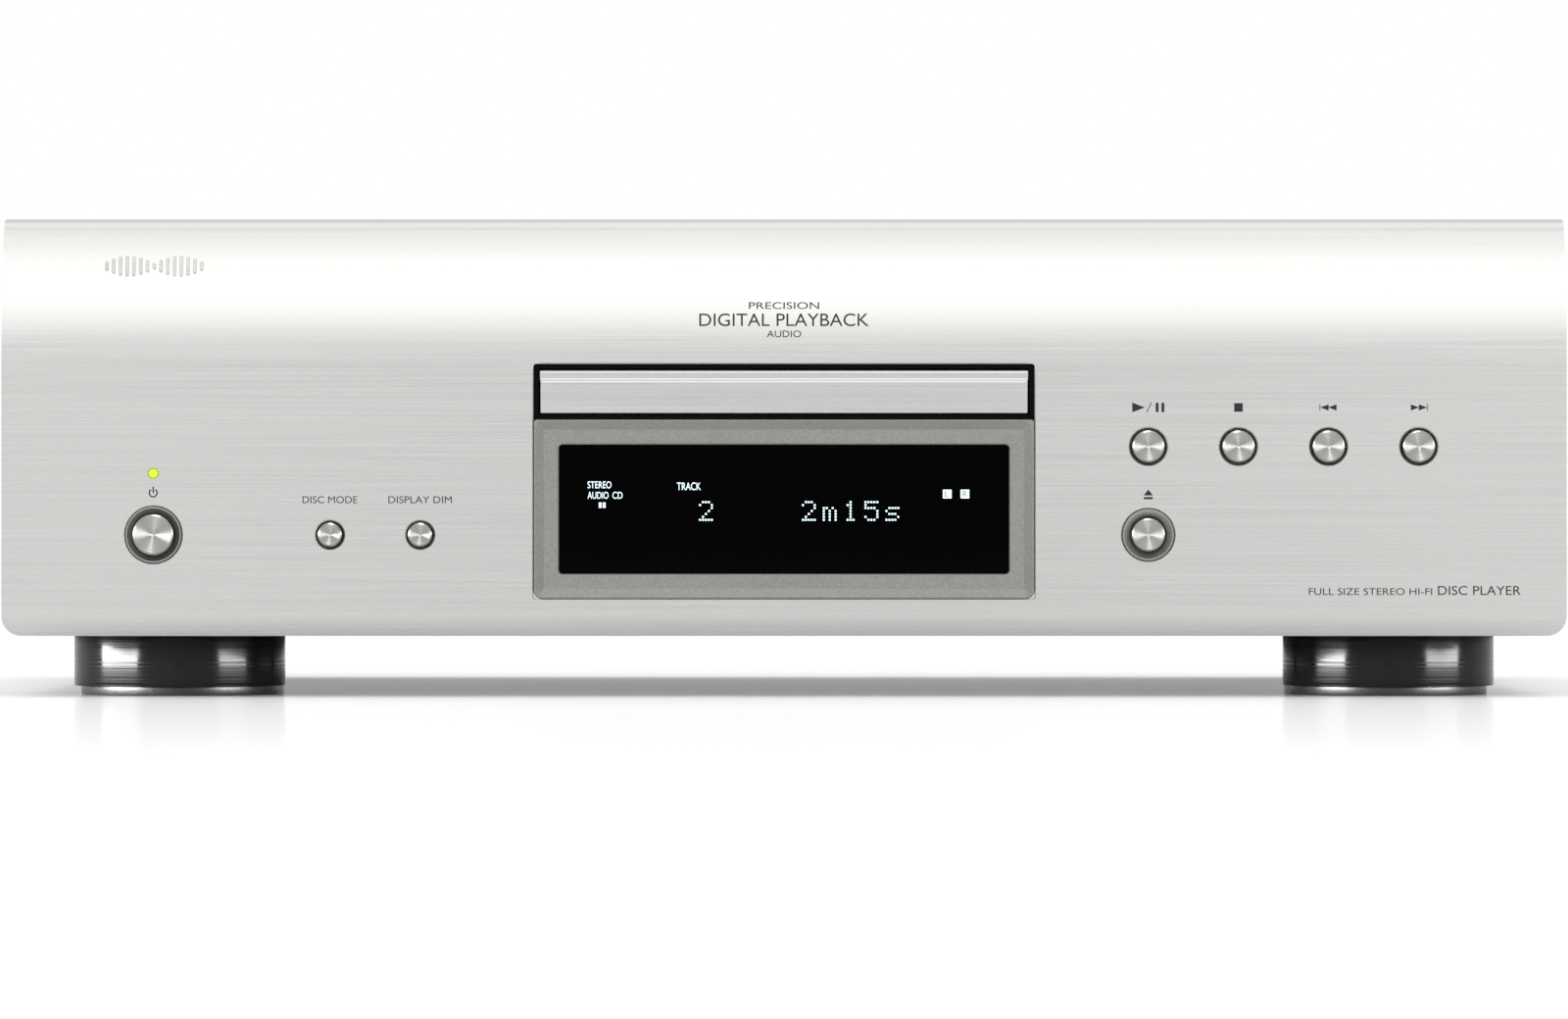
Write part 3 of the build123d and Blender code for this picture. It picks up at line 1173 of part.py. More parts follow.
def grommet_centres():
    inner = FRAME_HALF - FRAME_BAR
    return [(side * (inner - LUG_SIZE / 2), y + LUG_SIZE / 2) for side, y in lug_places()]


def isolation_grommets():
    rubbers = []
    for x, y in grommet_centres():
        ring = drum(x, y, FRAME_HIGH, PLATE_Z, GROMMET_RADIUS) - drum(x, y, 0, TOP, SCREW_HOLE)
        rubbers.append(ring)
    return together(*rubbers)


def rod_ends():
    """(x, low y) of the four blocks that hold the guide rods."""
    rear = SLED_REAR + SLED_TRAVEL + 2
    return [(side * ROD_X, y) for side in (-1, 1) for y in (SLED_FRONT - ROD_END, rear)]


def mech_plate():
    """Steel plate with the pickup's slot, the rod blocks and the feed gear's pin."""
    half = FRAME_HALF - FRAME_BAR - 0.5
    front_y = FRAME_START + FRAME_BAR + 0.5
    rear_y = FRAME_END - FRAME_BAR - 2
    plate = block(-half, half, front_y, rear_y, PLATE_Z, PLATE_TOP)
    plate -= drum(0, DISC_Y, PLATE_Z - 1, PLATE_TOP + 1, 6.0)
    plate -= block(-15, 15, SLED_FRONT - 1, LENS_Y + 15 + SLED_TRAVEL, PLATE_Z - 1, PLATE_TOP + 1)
    for x, y in grommet_centres():
        plate -= drum(x, y, PLATE_Z - 1, PLATE_TOP + 1, SCREW_HOLE)
    for x, y in rod_ends():
        holder = block(x - 3, x + 3, y, y + 4, ROD_Z - 2.6, PLATE_Z)
        plate += holder - bar_y(x, ROD_Z, y - 1, y + 5, ROD_RADIUS)
    return plate + drum(SLED_GEAR_X, SLED_GEAR_Y, FRAME_LOW - 0.5, PLATE_Z, FEED_PIN)


def guide_rods():
    y0 = SLED_FRONT - ROD_END
    y1 = SLED_REAR + SLED_TRAVEL + ROD_END
    return together(*[bar_y(side * ROD_X, ROD_Z, y0, y1, ROD_RADIUS) for side in (-1, 1)])


def spindle_motor():
    can = drum(0, DISC_Y, FRAME_LOW + 1, PLATE_Z, SPINDLE_MOTOR_RADIUS)
    can += drum(0, DISC_Y, PLATE_Z, PLATE_TOP + 0.4, 4.0)
    return can - drum(0, DISC_Y, FRAME_LOW + 2.5, TOP, SHAFT_RADIUS + AXLE_PLAY)


def turntable():
    """Platter, centring cone and motor shaft, which turn as one."""
    profile = [
        (0, FRAME_LOW + 3), (SHAFT_RADIUS, FRAME_LOW + 3), (SHAFT_RADIUS, PLATE_TOP + 0.9),
        (4.5, PLATE_TOP + 0.9), (4.5, TURNTABLE_TOP - 3.2), (TURNTABLE_RADIUS, TURNTABLE_TOP - 2.4),
        (TURNTABLE_RADIUS, TURNTABLE_TOP), (TURNTABLE_RADIUS - 3.5, TURNTABLE_TOP),
        (TURNTABLE_RADIUS - 3.5, TURNTABLE_TOP - 0.6), (HUB_RADIUS, TURNTABLE_TOP - 0.6),
        (HUB_RADIUS, TURNTABLE_TOP + 1.2), (HUB_RADIUS - 1.4, TURNTABLE_TOP + HUB_HEIGHT),
        (0, TURNTABLE_TOP + HUB_HEIGHT),
    ]
    return turned_z(profile, 0, DISC_Y)


def pickup_sled():
    """Laser pickup carriage on the two rods, with its feed rack."""
    body = block(-SLED_HALF, SLED_HALF, SLED_FRONT, SLED_REAR, SLED_LOW, SLED_ROOF)
    for x in (-ROD_X, ROD_X):
        body -= bar_y(x, ROD_Z, SLED_FRONT - 1, SLED_REAR + 1, ROD_RADIUS + AXLE_PLAY)
    body += block(-13, 13, SLED_FRONT, LENS_Y + 14, SLED_ROOF, SLED_HEAD_TOP)
    body -= block(-6.5, 6.5, LENS_Y - 6.5, LENS_Y + 6.5, SLED_HEAD_TOP - 3, SLED_HEAD_TOP + 1)
    toothed = rack(
        SLED_RACK_LINE, SLED_HALF - 0.5, SLED_FRONT - 1, SLED_REAR + 6, ROD_Z - 3, ROD_Z - 0.4,
        SLED_MODULE, SLED_GEAR_Y,
    )
    return body + toothed


def objective_lens():
    """Lens in its moving holder."""
    low = SLED_HEAD_TOP - 3 + LENS_TRAVEL + 0.3
    holder = block(-5.5, 5.5, LENS_Y - 5.5, LENS_Y + 5.5, low, low + 3)
    rim = low + 3.1
    dome = [(3.2, rim), (2.2, rim + 0.5), (1, rim + 0.75), (0, rim + 0.8)]
    return holder + turned_z([(0, rim - 0.6), (3.2, rim - 0.6)] + dome, 0, LENS_Y)


def sled_gear():
    space = 180 + 180 / SLED_GEAR_SMALL
    small = gear(
        SLED_GEAR_X, SLED_GEAR_Y, ROD_Z - 3.4, ROD_Z, SLED_GEAR_SMALL, SLED_MODULE, space
    )
    large = gear(
        SLED_GEAR_X, SLED_GEAR_Y, FRAME_LOW, ROD_Z - 4.3, SLED_GEAR_LARGE, SLED_MODULE, SLED_MOTOR_ANGLE
    )
    hub = drum(SLED_GEAR_X, SLED_GEAR_Y, ROD_Z - 5, ROD_Z - 3, 2.6)
    return small + large + hub - drum(SLED_GEAR_X, SLED_GEAR_Y, 0, TOP, FEED_PIN + AXLE_PLAY)


def sled_pinion():
    turn = SLED_MOTOR_ANGLE + 180 + 180 / SLED_PINION
    wheel = gear(SLED_PINION_X, SLED_PINION_Y, FRAME_LOW, ROD_Z - 4.3, SLED_PINION, SLED_MODULE, turn)
    return wheel + drum(SLED_PINION_X, SLED_PINION_Y, FRAME_LOW, ROD_Z - 1, PINION_SHAFT)


def sled_motor():
    can = drum(SLED_PINION_X, SLED_PINION_Y, ROD_Z - 3.6, PLATE_Z, 4.8)
    return can - drum(SLED_PINION_X, SLED_PINION_Y, ROD_Z - 5, ROD_Z - 0.5, PINION_SHAFT + AXLE_PLAY)


# ---------------------------------------------------------------- electronics
def board_areas():
    """x0, x1, y0, y1 of the three circuit boards on the floor."""
    rear = REAR_INNER - 4
    power_front = transformer_places()[-1][1] + CORE_SIZE[1] / 2 + BAY_GAP
    return {
        "power_board": (-BAY_OUTER, -BAY_INNER, power_front, rear),
        "digital_board": (-BAY_INNER + 4, BAY_INNER - 4, LOADER_REAR + BAY_GAP, rear),
        "audio_board": (BAY_INNER, BAY_OUTER, rear - 165, rear),
    }


def circuit_board(name):
    x0, x1, y0, y1 = board_areas()[name]
    return block(x0, x1, y0, y1, BOARD_Z, BOARD_TOP)


def transformer_places():
    """Centres of the two mains transformers, one behind the other in the left bay."""
    x = -(BAY_INNER + BAY_OUTER) / 2
    first = FRONT + FOOT_FRONT + BAY_GAP + CORE_SIZE[1] / 2
    return [(x, first + n * (CORE_SIZE[1] + 2 * BAY_GAP + 6)) for n in range(2)]


def transformer_cores():
    """Laminated iron cores with their two windows."""
    w, d, h = CORE_SIZE
    cores = []
    for x, y in transformer_places():
        core = block(x - w / 2, x + w / 2, y - d / 2 + 8, y + d / 2 - 8, FLOOR_Z, FLOOR_Z + h)
        for side in (-1, 1):
            window = x + side * w / 4
            core -= block(
                window - w / 12 - 1, window + w / 12 + 1, y - d, y + d, FLOOR_Z + 8, FLOOR_Z + h - 8
            )
        for side in (-1, 1):
            core += block(x + side * w / 2, x + side * (w / 2 + 9), y - 8, y + 8, FLOOR_Z, FLOOR_Z + 2)
        cores.append(core)
    return together(*cores)


def transformer_windings():
    """Taped coils round the middle limb of each core."""
    w, d, h = CORE_SIZE
    coils = []
    for x, y in transformer_places():
        outer = w / 4 + w / 12 + 1 - SLIP
        coil = block(x - outer, x + outer, y - d / 2, y + d / 2, FLOOR_Z + 8, FLOOR_Z + h - 8 - SLIP)
        inner = w / 4 - w / 12 - 1 + SLIP
        coil -= block(x - inner, x + inner, y - d / 2 + 8 - SLIP, y + d / 2 - 8 + SLIP, 0, TOP)
        coils.append(coil)
    return together(*coils)


def capacitors():
    """Reservoir capacitors of the supply and smaller ones on the audio board."""
    cans = []
    _, x1, y0, _ = board_areas()["power_board"]
    for n in range(3):
        for m in range(2):
            x, y = x1 - 16 - CAN_PITCH[0] * n, y0 + 16 + CAN_PITCH[1] * m
            cans.append(drum(x, y, BOARD_TOP, BOARD_TOP + LARGE_CAN[1], LARGE_CAN[0]))
    x0, _, y0, _ = board_areas()["audio_board"]
    for n in range(4):
        for m in range(3):
            x, y = x0 + 16 + SMALL_CAN_PITCH[0] * n, y0 + 20 + SMALL_CAN_PITCH[1] * m
            cans.append(drum(x, y, BOARD_TOP, BOARD_TOP + SMALL_CAN[1], SMALL_CAN[0]))
    return together(*cans)


def heat_sinks():
    """Finned sinks behind the supply's regulators and on the audio board."""
    _, x1, _, rear = board_areas()["power_board"]
    sinks = [fin_block(x1 - 50, x1 - 10, rear - 28, 22)]
    _, x1, _, rear = board_areas()["audio_board"]
    sinks.append(fin_block(x1 - 40, x1 - 12, rear - 78, 18))
    return together(*sinks)


def fin_block(x0, x1, y, height):
    sink = block(x0, x1, y, y + 2, BOARD_TOP, BOARD_TOP + height)
    count = int((x1 - x0) / 5)
    for n in range(count + 1):
        x = x0 + n * (x1 - x0 - 1) / count
        sink += block(x, x + 1, y + 2, y + 10, BOARD_TOP, BOARD_TOP + height)
    return sink


def phono_sockets():
    """Metal rims of the phono sockets, each on a hexagon collar, with the plug's pin hole."""
    sockets = []
    for x, z in phono_places():
        collar = upright(RegularPolygon(PHONO_COLLAR, 6), x, z, REAR, REAR + 2)
        rim = bar_y(x, z, REAR_INNER - 6, REAR + SOCKET_PROUD, PHONO_RADIUS) + collar
        rim += block(x - 6, x + 6, REAR_INNER - 14, REAR_INNER, BOARD_TOP, z + 7)
        sockets.append(rim - bar_y(x, z, REAR - 4, REAR + SOCKET_PROUD + 1, PHONO_BORE))
    return together(*sockets)


def digital_jacks():
    """Optical output block and the two remote-control jacks."""
    x0, x1 = OPTICAL_X - OPTICAL_BODY, OPTICAL_X + OPTICAL_BODY
    body = block(x0, x1, REAR_INNER - 14, REAR_INNER, BOARD_TOP, SOCKET_Z + 6)
    face = outline(OPTICAL_SNOUT, OPTICAL_SNOUT, 0.8, 2)
    snout = upright(face, OPTICAL_X, SOCKET_Z, REAR_INNER - 1, REAR + 1.2)
    hole = outline(OPTICAL_MOUTH, OPTICAL_MOUTH, 0.4, 1)
    mouth = upright(hole, OPTICAL_X, SOCKET_Z, REAR - 8, REAR + 2)
    parts = [body + snout - mouth]
    for x, z in jack_places():
        x0, x1 = x - JACK_BODY, x + JACK_BODY
        jack = block(x0, x1, REAR_INNER - 16, REAR_INNER, BOARD_TOP, z + JACK_BODY)
        jack += bar_y(x, z, REAR_INNER - 1, REAR + 2, JACK_COLLAR)
        parts.append(jack - bar_y(x, z, REAR + 2 - JACK_LENGTH, REAR + 3, JACK_RADIUS))
    return together(*parts)


def power_inlet():
    """Two-pin mains inlet with its flange."""
    shell = upright(inlet_face(2), INLET_X, INLET_Z, REAR_INNER - INLET_CAVITY - 3, REAR + 1)
    flange = outline(INLET_WIDTH + 24, INLET_HEIGHT + 8, 6, 6)
    shell += upright(flange, INLET_X, INLET_Z, REAR, REAR + 3)
    shell -= upright(inlet_face(), INLET_X, INLET_Z, REAR + 3 - INLET_CAVITY, REAR + 4)
    for side in (-1, 1):
        x = INLET_X + side * 5
        shell += block(x - 1.2, x + 1.2, REAR - INLET_CAVITY, REAR - 2, INLET_Z - 3, INLET_Z + 1)
    return shell


def flat_cables():
    """Flat cables from the display board's back, along the floor and up onto the board at the rear."""
    thick = 0.4
    low = FLOOR_Z + 3
    start = BOARD_Y + BOARD_THICK
    fold = PANEL_BACK + BASE_SHEET + 3
    rear = board_areas()["digital_board"][2]
    route = [
        (start, CABLE_Z), (fold, CABLE_Z), (fold + 8, low), (rear - 10, low),
        (rear - 3, BOARD_TOP + 3), (rear + 2, BOARD_TOP + thick / 2), (rear + 8, BOARD_TOP + thick / 2),
    ]
    strips = []
    for x in CABLE_X:
        face = Plane.YZ.offset(x - 9) * trace(Polyline(*route), thick)
        strips.append(extrude(face, 18))
    return together(*strips)


# ---------------------------------------------------------------- everything, by node name
def all_parts():
    parts = {
        "front_panel": front_panel,
        "button_rings": button_rings,
        "tray_bezel": tray_bezel,
        "display_bezel": display_bezel,
        "display_window": display_window,
        "display_tube": display_tube,
        "display_board": display_board,
        "button_boards": button_boards,
        "tact_switches": tact_switches,
        "status_led": status_led,
        "front_subframe": front_subframe,
        "top_cover": top_cover,
        "base_pan": base_pan,
        "rear_panel": rear_panel,
        "foot_bodies": foot_bodies,
        "foot_pads": foot_pads,
        "foot_screws": foot_screws,
        "casing_screws": casing_screws,
        "tray_door": tray_door,
        "disc_tray": disc_tray,
        "loader_base": loader_base,
        "standoffs": standoffs,
        "drive_gear": drive_gear,
        "belt_pulley": belt_pulley,
        "motor_pulley": motor_pulley,
        "drive_belt": drive_belt,
        "loading_motor": loading_motor,
        "cam_slide": cam_slide,
        "clamp_bridge": clamp_bridge,
        "disc_clamper": disc_clamper,
        "traverse_frame": traverse_frame,
        "isolation_grommets": isolation_grommets,
        "mech_plate": mech_plate,
        "guide_rods": guide_rods,
        "spindle_motor": spindle_motor,
        "turntable": turntable,
        "pickup_sled": pickup_sled,
        "objective_lens": objective_lens,
        "sled_gear": sled_gear,
        "sled_pinion": sled_pinion,
        "sled_motor": sled_motor,
        "transformer_cores": transformer_cores,
        "transformer_windings": transformer_windings,
        "capacitors": capacitors,
        "heat_sinks": heat_sinks,
        "phono_sockets": phono_sockets,
        "digital_jacks": digital_jacks,
        "power_inlet": power_inlet,
        "flat_cables": flat_cables,
    }
    made = {name: build() for name, build in parts.items()}
    for name, (x, z, form) in BUTTONS.items():
        made[name] = button(x, z, form[0], form[1])
    for name in board_areas():
        made[name] = circuit_board(name)
    return made


def main():
    os.makedirs("parts", exist_ok=True)
    for name, shape in all_parts().items():
        export_step(shape, f"parts/{name}.step")


if __name__ == "__main__":
    main()
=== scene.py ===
import json
from math import cos, pi, radians, sin, sqrt

import bmesh
import bpy
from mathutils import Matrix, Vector


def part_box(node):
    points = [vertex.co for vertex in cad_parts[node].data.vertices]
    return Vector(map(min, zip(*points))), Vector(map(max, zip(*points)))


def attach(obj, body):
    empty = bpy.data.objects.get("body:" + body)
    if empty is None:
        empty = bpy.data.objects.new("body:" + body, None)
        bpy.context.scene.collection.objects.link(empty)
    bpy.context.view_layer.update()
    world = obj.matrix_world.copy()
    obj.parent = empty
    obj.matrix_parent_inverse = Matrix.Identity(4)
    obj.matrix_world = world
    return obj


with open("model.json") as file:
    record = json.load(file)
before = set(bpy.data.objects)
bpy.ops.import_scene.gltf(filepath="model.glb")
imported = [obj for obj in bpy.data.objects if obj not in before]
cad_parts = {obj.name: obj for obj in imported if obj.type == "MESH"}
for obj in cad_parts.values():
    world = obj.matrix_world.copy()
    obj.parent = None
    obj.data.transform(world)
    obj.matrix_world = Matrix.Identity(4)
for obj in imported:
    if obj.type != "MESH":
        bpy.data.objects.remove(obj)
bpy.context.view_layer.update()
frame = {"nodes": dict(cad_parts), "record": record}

MM = 0.001

# ------------------------------------------------------------------ places read from the frame
PANEL_LOW, PANEL_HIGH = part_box("front_panel")
FRONT = PANEL_LOW[1]                       # the panel's flat face
HALF_WIDTH = PANEL_HIGH[0]
PANEL_TOP = PANEL_HIGH[2]
WINDOW_LOW, WINDOW_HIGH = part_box("display_window")
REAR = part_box("rear_panel")[1][1]
CROWN_RADIUS = 80 * MM                     # the roll of the panel's upper part
CROWN_TURN = radians(27.5)
NOSE_RADIUS = 6 * MM
CROWN_START = PANEL_TOP - CROWN_RADIUS * sin(CROWN_TURN) - NOSE_RADIUS * (1 - sin(CROWN_TURN))
PRINT = 0.03 * MM                          # thickness of printed ink


def middle(node):
    """Centre of a CAD node's box."""
    low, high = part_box(node)
    return Vector(((low[0] + high[0]) / 2, (low[1] + high[1]) / 2, (low[2] + high[2]) / 2))


def panel_face(z):
    """Y of the panel's face at a height: flat below, rolled back above."""
    rise = max(0.0, z - CROWN_START)
    return FRONT + CROWN_RADIUS - sqrt(CROWN_RADIUS**2 - rise**2)


# ------------------------------------------------------------------ shader helpers
def linear(hex_colour, alpha=1.0):
    """An sRGB hex colour as the linear colour that shaders take."""
    channels = [int(hex_colour[i:i + 2], 16) / 255 for i in (1, 3, 5)]
    return tuple(c / 12.92 if c <= 0.04045 else ((c + 0.055) / 1.055) ** 2.4 for c in channels) + (alpha,)


def add(tree, kind, inputs=None, **settings):
    """Adds a node, sets its own settings, and fills its sockets with numbers, colours or links."""
    node = tree.nodes.new(kind)
    for name, value in settings.items():
        setattr(node, name, value)
    for socket, value in (inputs or {}).items():
        if isinstance(value, bpy.types.NodeSocket):
            tree.links.new(value, node.inputs[socket])
        else:
            node.inputs[socket].default_value = value
    return node


def blank(name, colour, metallic=0.0, roughness=0.5, **sockets):
    """A material with one shader, ready for its texture nodes, with its tree and that shader."""
    material = bpy.data.materials.new(name)
    material.use_nodes = True
    tree = material.node_tree
    tree.nodes.clear()
    inputs = {"Base Color": linear(colour), "Metallic": metallic, "Roughness": roughness}
    inputs.update(sockets)
    shader = add(tree, "ShaderNodeBsdfPrincipled", inputs)
    add(tree, "ShaderNodeOutputMaterial", {"Surface": shader.outputs[0]})
    return material, tree, shader


def place(tree):
    """Position in metres, carried with the piece."""
    return add(tree, "ShaderNodeTexCoord").outputs["Object"]


def grain(tree, length_mm, detail=2.0, vector=None):
    """Noise whose features measure length_mm along X, Y and Z; its value has a mean of a half."""
    scale = tuple(1000 / size for size in length_mm)
    mapped = add(tree, "ShaderNodeMapping", {"Vector": vector or place(tree), "Scale": scale})
    noise = add(tree, "ShaderNodeTexNoise", {"Vector": mapped.outputs[0], "Scale": 1.0, "Detail": detail})
    return noise.outputs[0]


def spread(tree, value, low, high):
    """Maps noise of about 0.3 to 0.7 to the range low to high."""
    inputs = {"Value": value, "From Min": 0.3, "From Max": 0.7, "To Min": low, "To Max": high}
    return add(tree, "ShaderNodeMapRange", inputs).outputs[0]


def two_tones(tree, value, first, second):
    """Colour between two hex colours by a value from 0 to 1."""
    ramp = add(tree, "ShaderNodeValToRGB", {"Fac": value})
    ramp.color_ramp.elements[0].color = linear(first)
    ramp.color_ramp.elements[1].color = linear(second)
    ramp.color_ramp.elements[0].position = 0.3
    ramp.color_ramp.elements[1].position = 0.7
    return ramp.outputs[0]


def relief(tree, shader, height, depth_mm, normal=None):
    """Bump of a real depth on the shader."""
    inputs = {"Height": height, "Distance": depth_mm * MM, "Strength": 1.0}
    if normal is not None:
        inputs["Normal"] = normal
    bump = add(tree, "ShaderNodeBump", inputs)
    tree.links.new(bump.outputs[0], shader.inputs["Normal"])
    return bump.outputs[0]


def compare(tree, value, limit, above=True):
    """1 where value is above (or below) limit."""
    operation = "GREATER_THAN" if above else "LESS_THAN"
    return add(tree, "ShaderNodeMath", {0: value, 1: limit}, operation=operation).outputs[0]


def both(tree, first, second):
    return add(tree, "ShaderNodeMath", {0: first, 1: second}, operation="MULTIPLY").outputs[0]


# ------------------------------------------------------------------ metals
def brushed_front(name, light, dark, roughness=0.28, shade_bores=False):
    """Anodised aluminium, brushed from side to side: long fine streaks, and a sheen that spreads up and down.

    The real lines are about 0.1 mm apart, too fine to show, so they are drawn at 0.45 mm."""
    material, tree, shader = blank(name, light, 1.0, roughness, Anisotropic=0.55)
    fine = grain(tree, (90, 90, 0.45), 2.0)
    broad = grain(tree, (320, 320, 5), 1.0)
    lines = add(tree, "ShaderNodeMath", {0: fine, 1: 0.8}, operation="MULTIPLY").outputs[0]
    streaks = add(tree, "ShaderNodeMath", {0: broad, 1: 0.2, 2: lines}, operation="MULTIPLY_ADD").outputs[0]
    colour = two_tones(tree, streaks, dark, light)
    # painted shade: the walls of the panel's holes are coloured near-black
    if shade_bores:
        colour = paint_bore_shade(tree, colour)
    tree.links.new(colour, shader.inputs["Base Color"])
    tree.links.new(spread(tree, fine, roughness - 0.025, roughness + 0.03), shader.inputs["Roughness"])
    upward = add(tree, "ShaderNodeCombineXYZ", {"Z": 1.0}).outputs[0]
    tree.links.new(upward, shader.inputs["Tangent"])
    relief(tree, shader, fine, 0.0007)
    return material


def paint_bore_shade(tree, colour):
    """Paints shade on the walls of the panel's holes: near-black colour where they turn away from the front,
    so a gap round a button reads as a black line.
    """
    facing = add(tree, "ShaderNodeNewGeometry").outputs["True Normal"]
    normal = add(tree, "ShaderNodeSeparateXYZ", {0: facing})
    spot = add(tree, "ShaderNodeSeparateXYZ", {0: place(tree)})
    sideways = add(tree, "ShaderNodeMath", {0: normal.outputs[1]}, operation="ABSOLUTE").outputs[0]
    across = add(tree, "ShaderNodeMath", {0: spot.outputs[0]}, operation="ABSOLUTE").outputs[0]
    wall = compare(tree, sideways, 0.1, False)
    shaded_wall = both(tree, wall, compare(tree, across, HALF_WIDTH - 6 * MM, False))
    shaded_wall = both(tree, shaded_wall, compare(tree, spot.outputs[2], PANEL_TOP - 4 * MM, False))
    shaded_wall = both(tree, shaded_wall, compare(tree, spot.outputs[2], PANEL_LOW[2] + 4 * MM))
    # near-black painted shade on the hole walls
    inputs = {0: shaded_wall, 6: colour, 7: linear("#0a0a0a")}
    return add(tree, "ShaderNodeMix", inputs, data_type="RGBA").outputs[2]


def turned_metal(name, colour, dark, centres, roughness=0.42, anisotropy=0.9, ring_mm=0.35, axis="Y"):
    """Metal faced on a lathe: rings round the piece's own axis, whose sheen fans out from the middle.

    centres holds one axis, or two with the second for what lies right of the player's centre."""
    material, tree, shader = blank(name, colour, 1.0, roughness, Anisotropic=anisotropy)
    spot = place(tree)
    first = centres[0]
    centre = add(tree, "ShaderNodeCombineXYZ", {"X": first[0], "Y": first[1], "Z": first[2]}).outputs[0]
    if len(centres) > 1:
        side = compare(tree, add(tree, "ShaderNodeSeparateXYZ", {0: spot}).outputs[0], 0.0)
        apart = {0: side, 1: centres[1][0] - first[0], 2: first[0]}
        x = add(tree, "ShaderNodeMath", apart, operation="MULTIPLY_ADD").outputs[0]
        centre = add(tree, "ShaderNodeCombineXYZ", {"X": x, "Y": first[1], "Z": first[2]}).outputs[0]
    offset = add(tree, "ShaderNodeVectorMath", {0: spot, 1: centre}, operation="SUBTRACT").outputs[0]
    keep = (1, 0, 1) if axis == "Y" else (1, 1, 0)
    flat = add(tree, "ShaderNodeVectorMath", {0: offset, 1: keep}, operation="MULTIPLY").outputs[0]
    outward = add(tree, "ShaderNodeVectorMath", {0: flat}, operation="NORMALIZE").outputs[0]
    tree.links.new(outward, shader.inputs["Tangent"])
    radius = add(tree, "ShaderNodeVectorMath", {0: flat}, operation="LENGTH").outputs["Value"]
    count = add(tree, "ShaderNodeMath", {0: radius, 1: 1000 / ring_mm}, operation="MULTIPLY").outputs[0]
    rings = add(tree, "ShaderNodeTexNoise", {"W": count, "Scale": 1.0, "Detail": 2.0}, noise_dimensions="1D")
    tree.links.new(two_tones(tree, rings.outputs[0], dark, colour), shader.inputs["Base Color"])
    relief(tree, shader, rings.outputs[0], 0.003)
    return material


def blasted_metal(name, light, dark, roughness=0.5, metallic=1.0, grit_mm=0.5, depth_mm=0.01):
    """Bead-blasted or cast metal: an even fine grit that breaks up every highlight."""
    material, tree, shader = blank(name, light, metallic, roughness)
    grit = grain(tree, (grit_mm, grit_mm, grit_mm), 3.0)
    cloud = grain(tree, (30, 30, 30), 2.0)
    tree.links.new(two_tones(tree, grit, dark, light), shader.inputs["Base Color"])
    tree.links.new(spread(tree, cloud, roughness - 0.06, roughness + 0.06), shader.inputs["Roughness"])
    relief(tree, shader, grit, depth_mm)
    return material


def plated_sheet(name, light, dark, roughness=0.33):
    """Zinc or nickel plate on rolled steel: a faint rolling grain and cloudy patches."""
    material, tree, shader = blank(name, light, 1.0, roughness)
    rolled = grain(tree, (3, 40, 3), 3.0)
    cloud = grain(tree, (18, 18, 18), 3.0)
    tree.links.new(two_tones(tree, cloud, dark, light), shader.inputs["Base Color"])
    tree.links.new(spread(tree, rolled, roughness - 0.08, roughness + 0.1), shader.inputs["Roughness"])
    relief(tree, shader, rolled, 0.006)
    return material


def textured_paint(name, light, dark, roughness=0.48):
    """Silver casing paint with a fine orange peel and metal flake."""
    material, tree, shader = blank(name, light, 0.55, roughness)
    peel = grain(tree, (0.9, 0.9, 0.9), 2.0)
    flake = grain(tree, (0.35, 0.35, 0.35), 1.0)
    tree.links.new(two_tones(tree, flake, dark, light), shader.inputs["Base Color"])
    tree.links.new(spread(tree, flake, roughness - 0.08, roughness + 0.08), shader.inputs["Roughness"])
    relief(tree, shader, peel, 0.012)
    return material


# ------------------------------------------------------------------ plastics, rubber and glass
def moulded_plastic(name, light, dark, roughness=0.5, grit_mm=0.7, depth_mm=0.015, specular=0.5):
    """Injection-moulded plastic with the spark-eroded texture of its mould."""
    material, tree, shader = blank(name, light, 0.0, roughness)
    shader.inputs["Specular IOR Level"].default_value = specular
    grit = grain(tree, (grit_mm, grit_mm, grit_mm), 3.0)
    cloud = grain(tree, (25, 25, 25), 2.0)
    tree.links.new(two_tones(tree, cloud, dark, light), shader.inputs["Base Color"])
    tree.links.new(spread(tree, grit, roughness - 0.07, roughness + 0.07), shader.inputs["Roughness"])
    relief(tree, shader, grit, depth_mm)
    return material


def turned_black(name, colour, roughness, line_mm=0.6, depth_mm=0.006):
    """Black-lacquered drum, turned and polished: level lines, and stripes where it mirrors the lamps."""
    material, tree, shader = blank(name, colour, 0.0, roughness, Anisotropic=0.6)
    shader.inputs["Specular IOR Level"].default_value = 0.14
    height = add(tree, "ShaderNodeSeparateXYZ", {0: place(tree)}).outputs[2]
    count = add(tree, "ShaderNodeMath", {0: height, 1: 1000 / line_mm}, operation="MULTIPLY").outputs[0]
    lines = add(tree, "ShaderNodeTexNoise", {"W": count, "Scale": 1.0, "Detail": 3.0}, noise_dimensions="1D")
    sheen = spread(tree, lines.outputs[0], roughness - 0.08, roughness + 0.12)
    tree.links.new(sheen, shader.inputs["Roughness"])
    upward = add(tree, "ShaderNodeCombineXYZ", {"Z": 1.0}).outputs[0]
    tree.links.new(upward, shader.inputs["Tangent"])
    relief(tree, shader, lines.outputs[0], depth_mm)
    return material


def polished_acrylic(name, colour, roughness=0.04):
    """Smoked acrylic, polished, with the faintest waviness from moulding."""
    material, tree, shader = blank(name, colour, 0.0, roughness, IOR=1.49)
    relief(tree, shader, grain(tree, (60, 60, 60), 1.0), 0.002)
    return material


